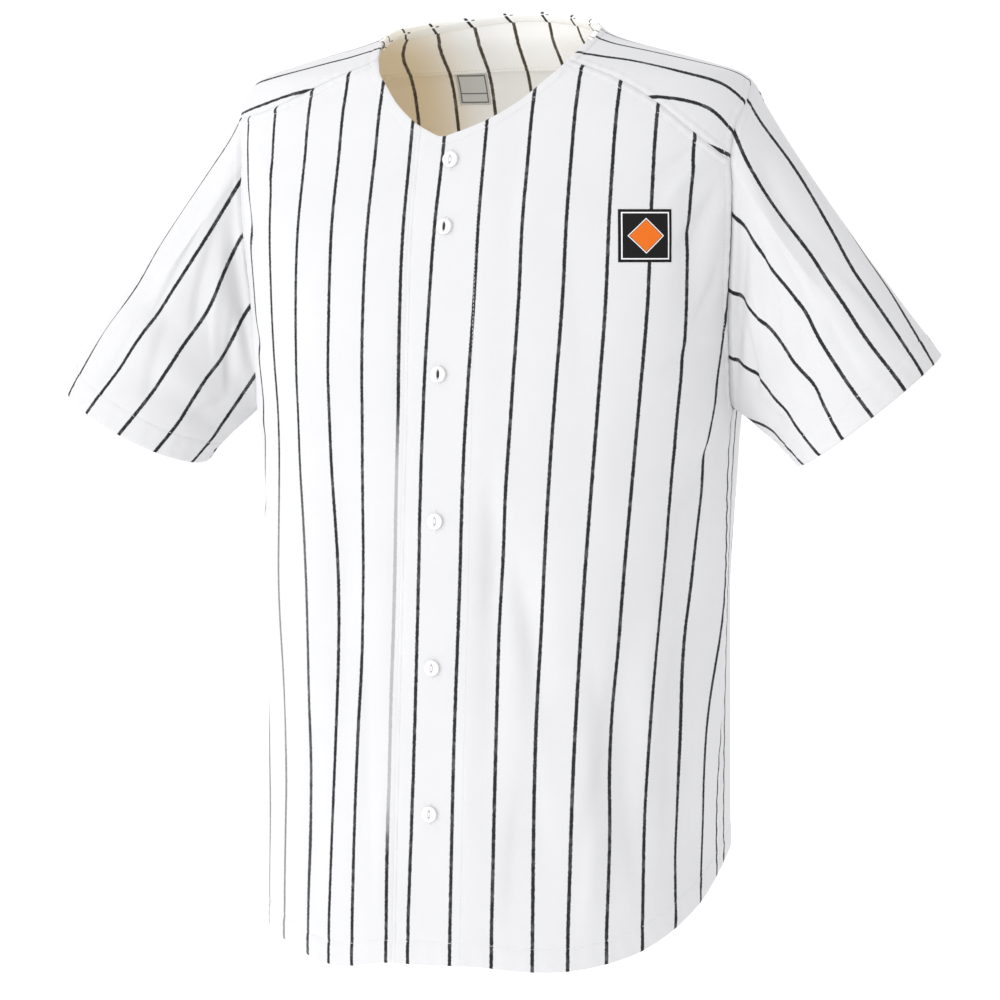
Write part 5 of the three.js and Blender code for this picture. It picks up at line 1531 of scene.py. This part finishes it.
# %% Floor, light and view
FLOOR_HALF, FLOOR_HEIGHT, FLOOR_GLOW = 14, -1.55, 0.2
WORLD_LIGHT, WORLD_SLOPE = 1.06, 0.24
BRIGHT_SIDE = (-math.cos(YAW), -math.sin(YAW), 0)
# Each lamp: its place, what it points at, its size in metres, its power in watts and its colour.
LAMPS = {"Key lamp": ((-2.6, -2.9, 0.7), (0, 0, -0.4), 1.5, 24, "#ffffff"),
         "Low lamp": ((-1.5, -2.6, -1.3), (0, 0, -0.4), 1.2, 12, "#ffffff"),
         "Top lamp": ((-1.2, -0.6, 2.2), (0, 0, -0.3), 1.2, 3, "#fdfdff"),
         "Floor lamp": ((-1.0, 5.0, 2.6), (0, 5, -1.5), 5.0, 60, "#ffffff")}

floor_mesh = bpy.data.meshes.new("studio_floor")
corners = [(x * FLOOR_HALF, y * FLOOR_HALF, FLOOR_HEIGHT) for x, y in ((-1, -1), (1, -1), (1, 1), (-1, 1))]
floor_mesh.from_pydata(corners, [], [(0, 1, 2, 3)])
painted, tree, shader = new_material("Matt white paint", Roughness=0.9, Specular_IOR_Level=0.1,
                                     Emission_Strength=FLOOR_GLOW)
place = add(tree, "ShaderNodeTexCoord").outputs["Object"]
speck = add(tree, "ShaderNodeTexNoise", {"Vector": place, "Scale": 1 / (25 * MM)}).outputs["Fac"]
table_white = add(tree, "ShaderNodeMix", {SHARE: speck, FIRST: linear("#fbfbfb"), SECOND: linear("#f8f8f8")},
                  data_type="RGBA")
feed(tree, shader, {"Base Color": table_white, "Emission Color": table_white})
floor_mesh.materials.append(painted)
put("studio_floor", floor_mesh)

world = bpy.data.worlds.new("White surround")
world.use_nodes = True
tree = world.node_tree
way = add(tree, "ShaderNodeTexCoord").outputs["Generated"]
towards = add(tree, "ShaderNodeVectorMath", [way, BRIGHT_SIDE], operation="DOT_PRODUCT").outputs["Value"]
strength = add(tree, "ShaderNodeMath", [towards, WORLD_SLOPE, WORLD_LIGHT], operation="MULTIPLY_ADD")
feed(tree, tree.nodes["Background"], {"Color": linear("#fefeff"), "Strength": strength})
bpy.context.scene.world = world

for name, (place, target, size, power, shade) in LAMPS.items():
    lamp = bpy.data.lights.new(name, "AREA")
    lamp.size, lamp.energy, lamp.color = size, power, linear(shade)[:3]
    stand_at(put(name, lamp), place, Vector(target) - Vector(place))
bpy.context.scene.view_settings.view_transform = "Standard"
print("lamps:", ", ".join(LAMPS))

# %% [markdown]
# Last, each piece is tied to the frame: it rides on the root, the CAD node that it stands for is hidden, and for
# cloth the size that it was cut to is printed. The jersey is one rigid body, so everything rides on the root.

# %% Tie the pieces to the frame
SLOTS = {"cloth_neck_facing": "inside_cloth", "satin_label": "label_satin"}
SADDLES = ["cloth_saddle_left", "cloth_saddle_right"]
# Each piece of cloth: the CAD node that it stands for, the sides of its cut in metres, the area of the cut where it
# isn't nearly a rectangle, and what it hangs from.
CUTS = {
    "cloth_front_left": ("front_left", (0.3, 0.71), 0.183, SADDLES[:1]),
    "cloth_front_right": ("front_right", (0.29, 0.71), 0.181, SADDLES[1:]),
    "cloth_back": ("back", (0.54, 0.76), 0.35, SADDLES),
    "cloth_saddle_left": ("saddle_left", (0.2, 0.17), 0.0225, ["cloth_front_left", "cloth_back"]),
    "cloth_saddle_right": ("saddle_right", (0.2, 0.17), 0.0214, ["cloth_front_right", "cloth_back"]),
    "cloth_sleeve_left": ("sleeve_left", (0.555, 0.21), 0.0674, SADDLES[:1]),
    "cloth_sleeve_right": ("sleeve_right", (0.555, 0.21), 0.0724, SADDLES[1:]),
    "cloth_neck_facing": ("back_neck_facing", (0.46, 0.056), None, ["cloth_back"]),
    "neck_tape": ("neck_binding", (0.45, 0.013), None, ["cloth_back"]),
    "satin_label": ("neck_label", (0.026, 0.026), None, ["cloth_back"])}
for name, (node, flat, area, rests) in CUTS.items():
    piece, slot = panels[name]["piece"], SLOTS.get(name, "white_cloth")
    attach(piece, "root")
    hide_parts(node)
    sewn_on = [stitches[name]] if name in stitches else []
    if name == "cloth_front_left":
        sewn_on += [buttonholes, print_piece]
    for other in sewn_on:
        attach(other, "root")
    print(name, "cut", flat, "measured", round(panels[name]["area"], 4), "m2")
for number, piece in enumerate(buttons, 1):
    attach(piece, "root")
    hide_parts(f"button_{number}")
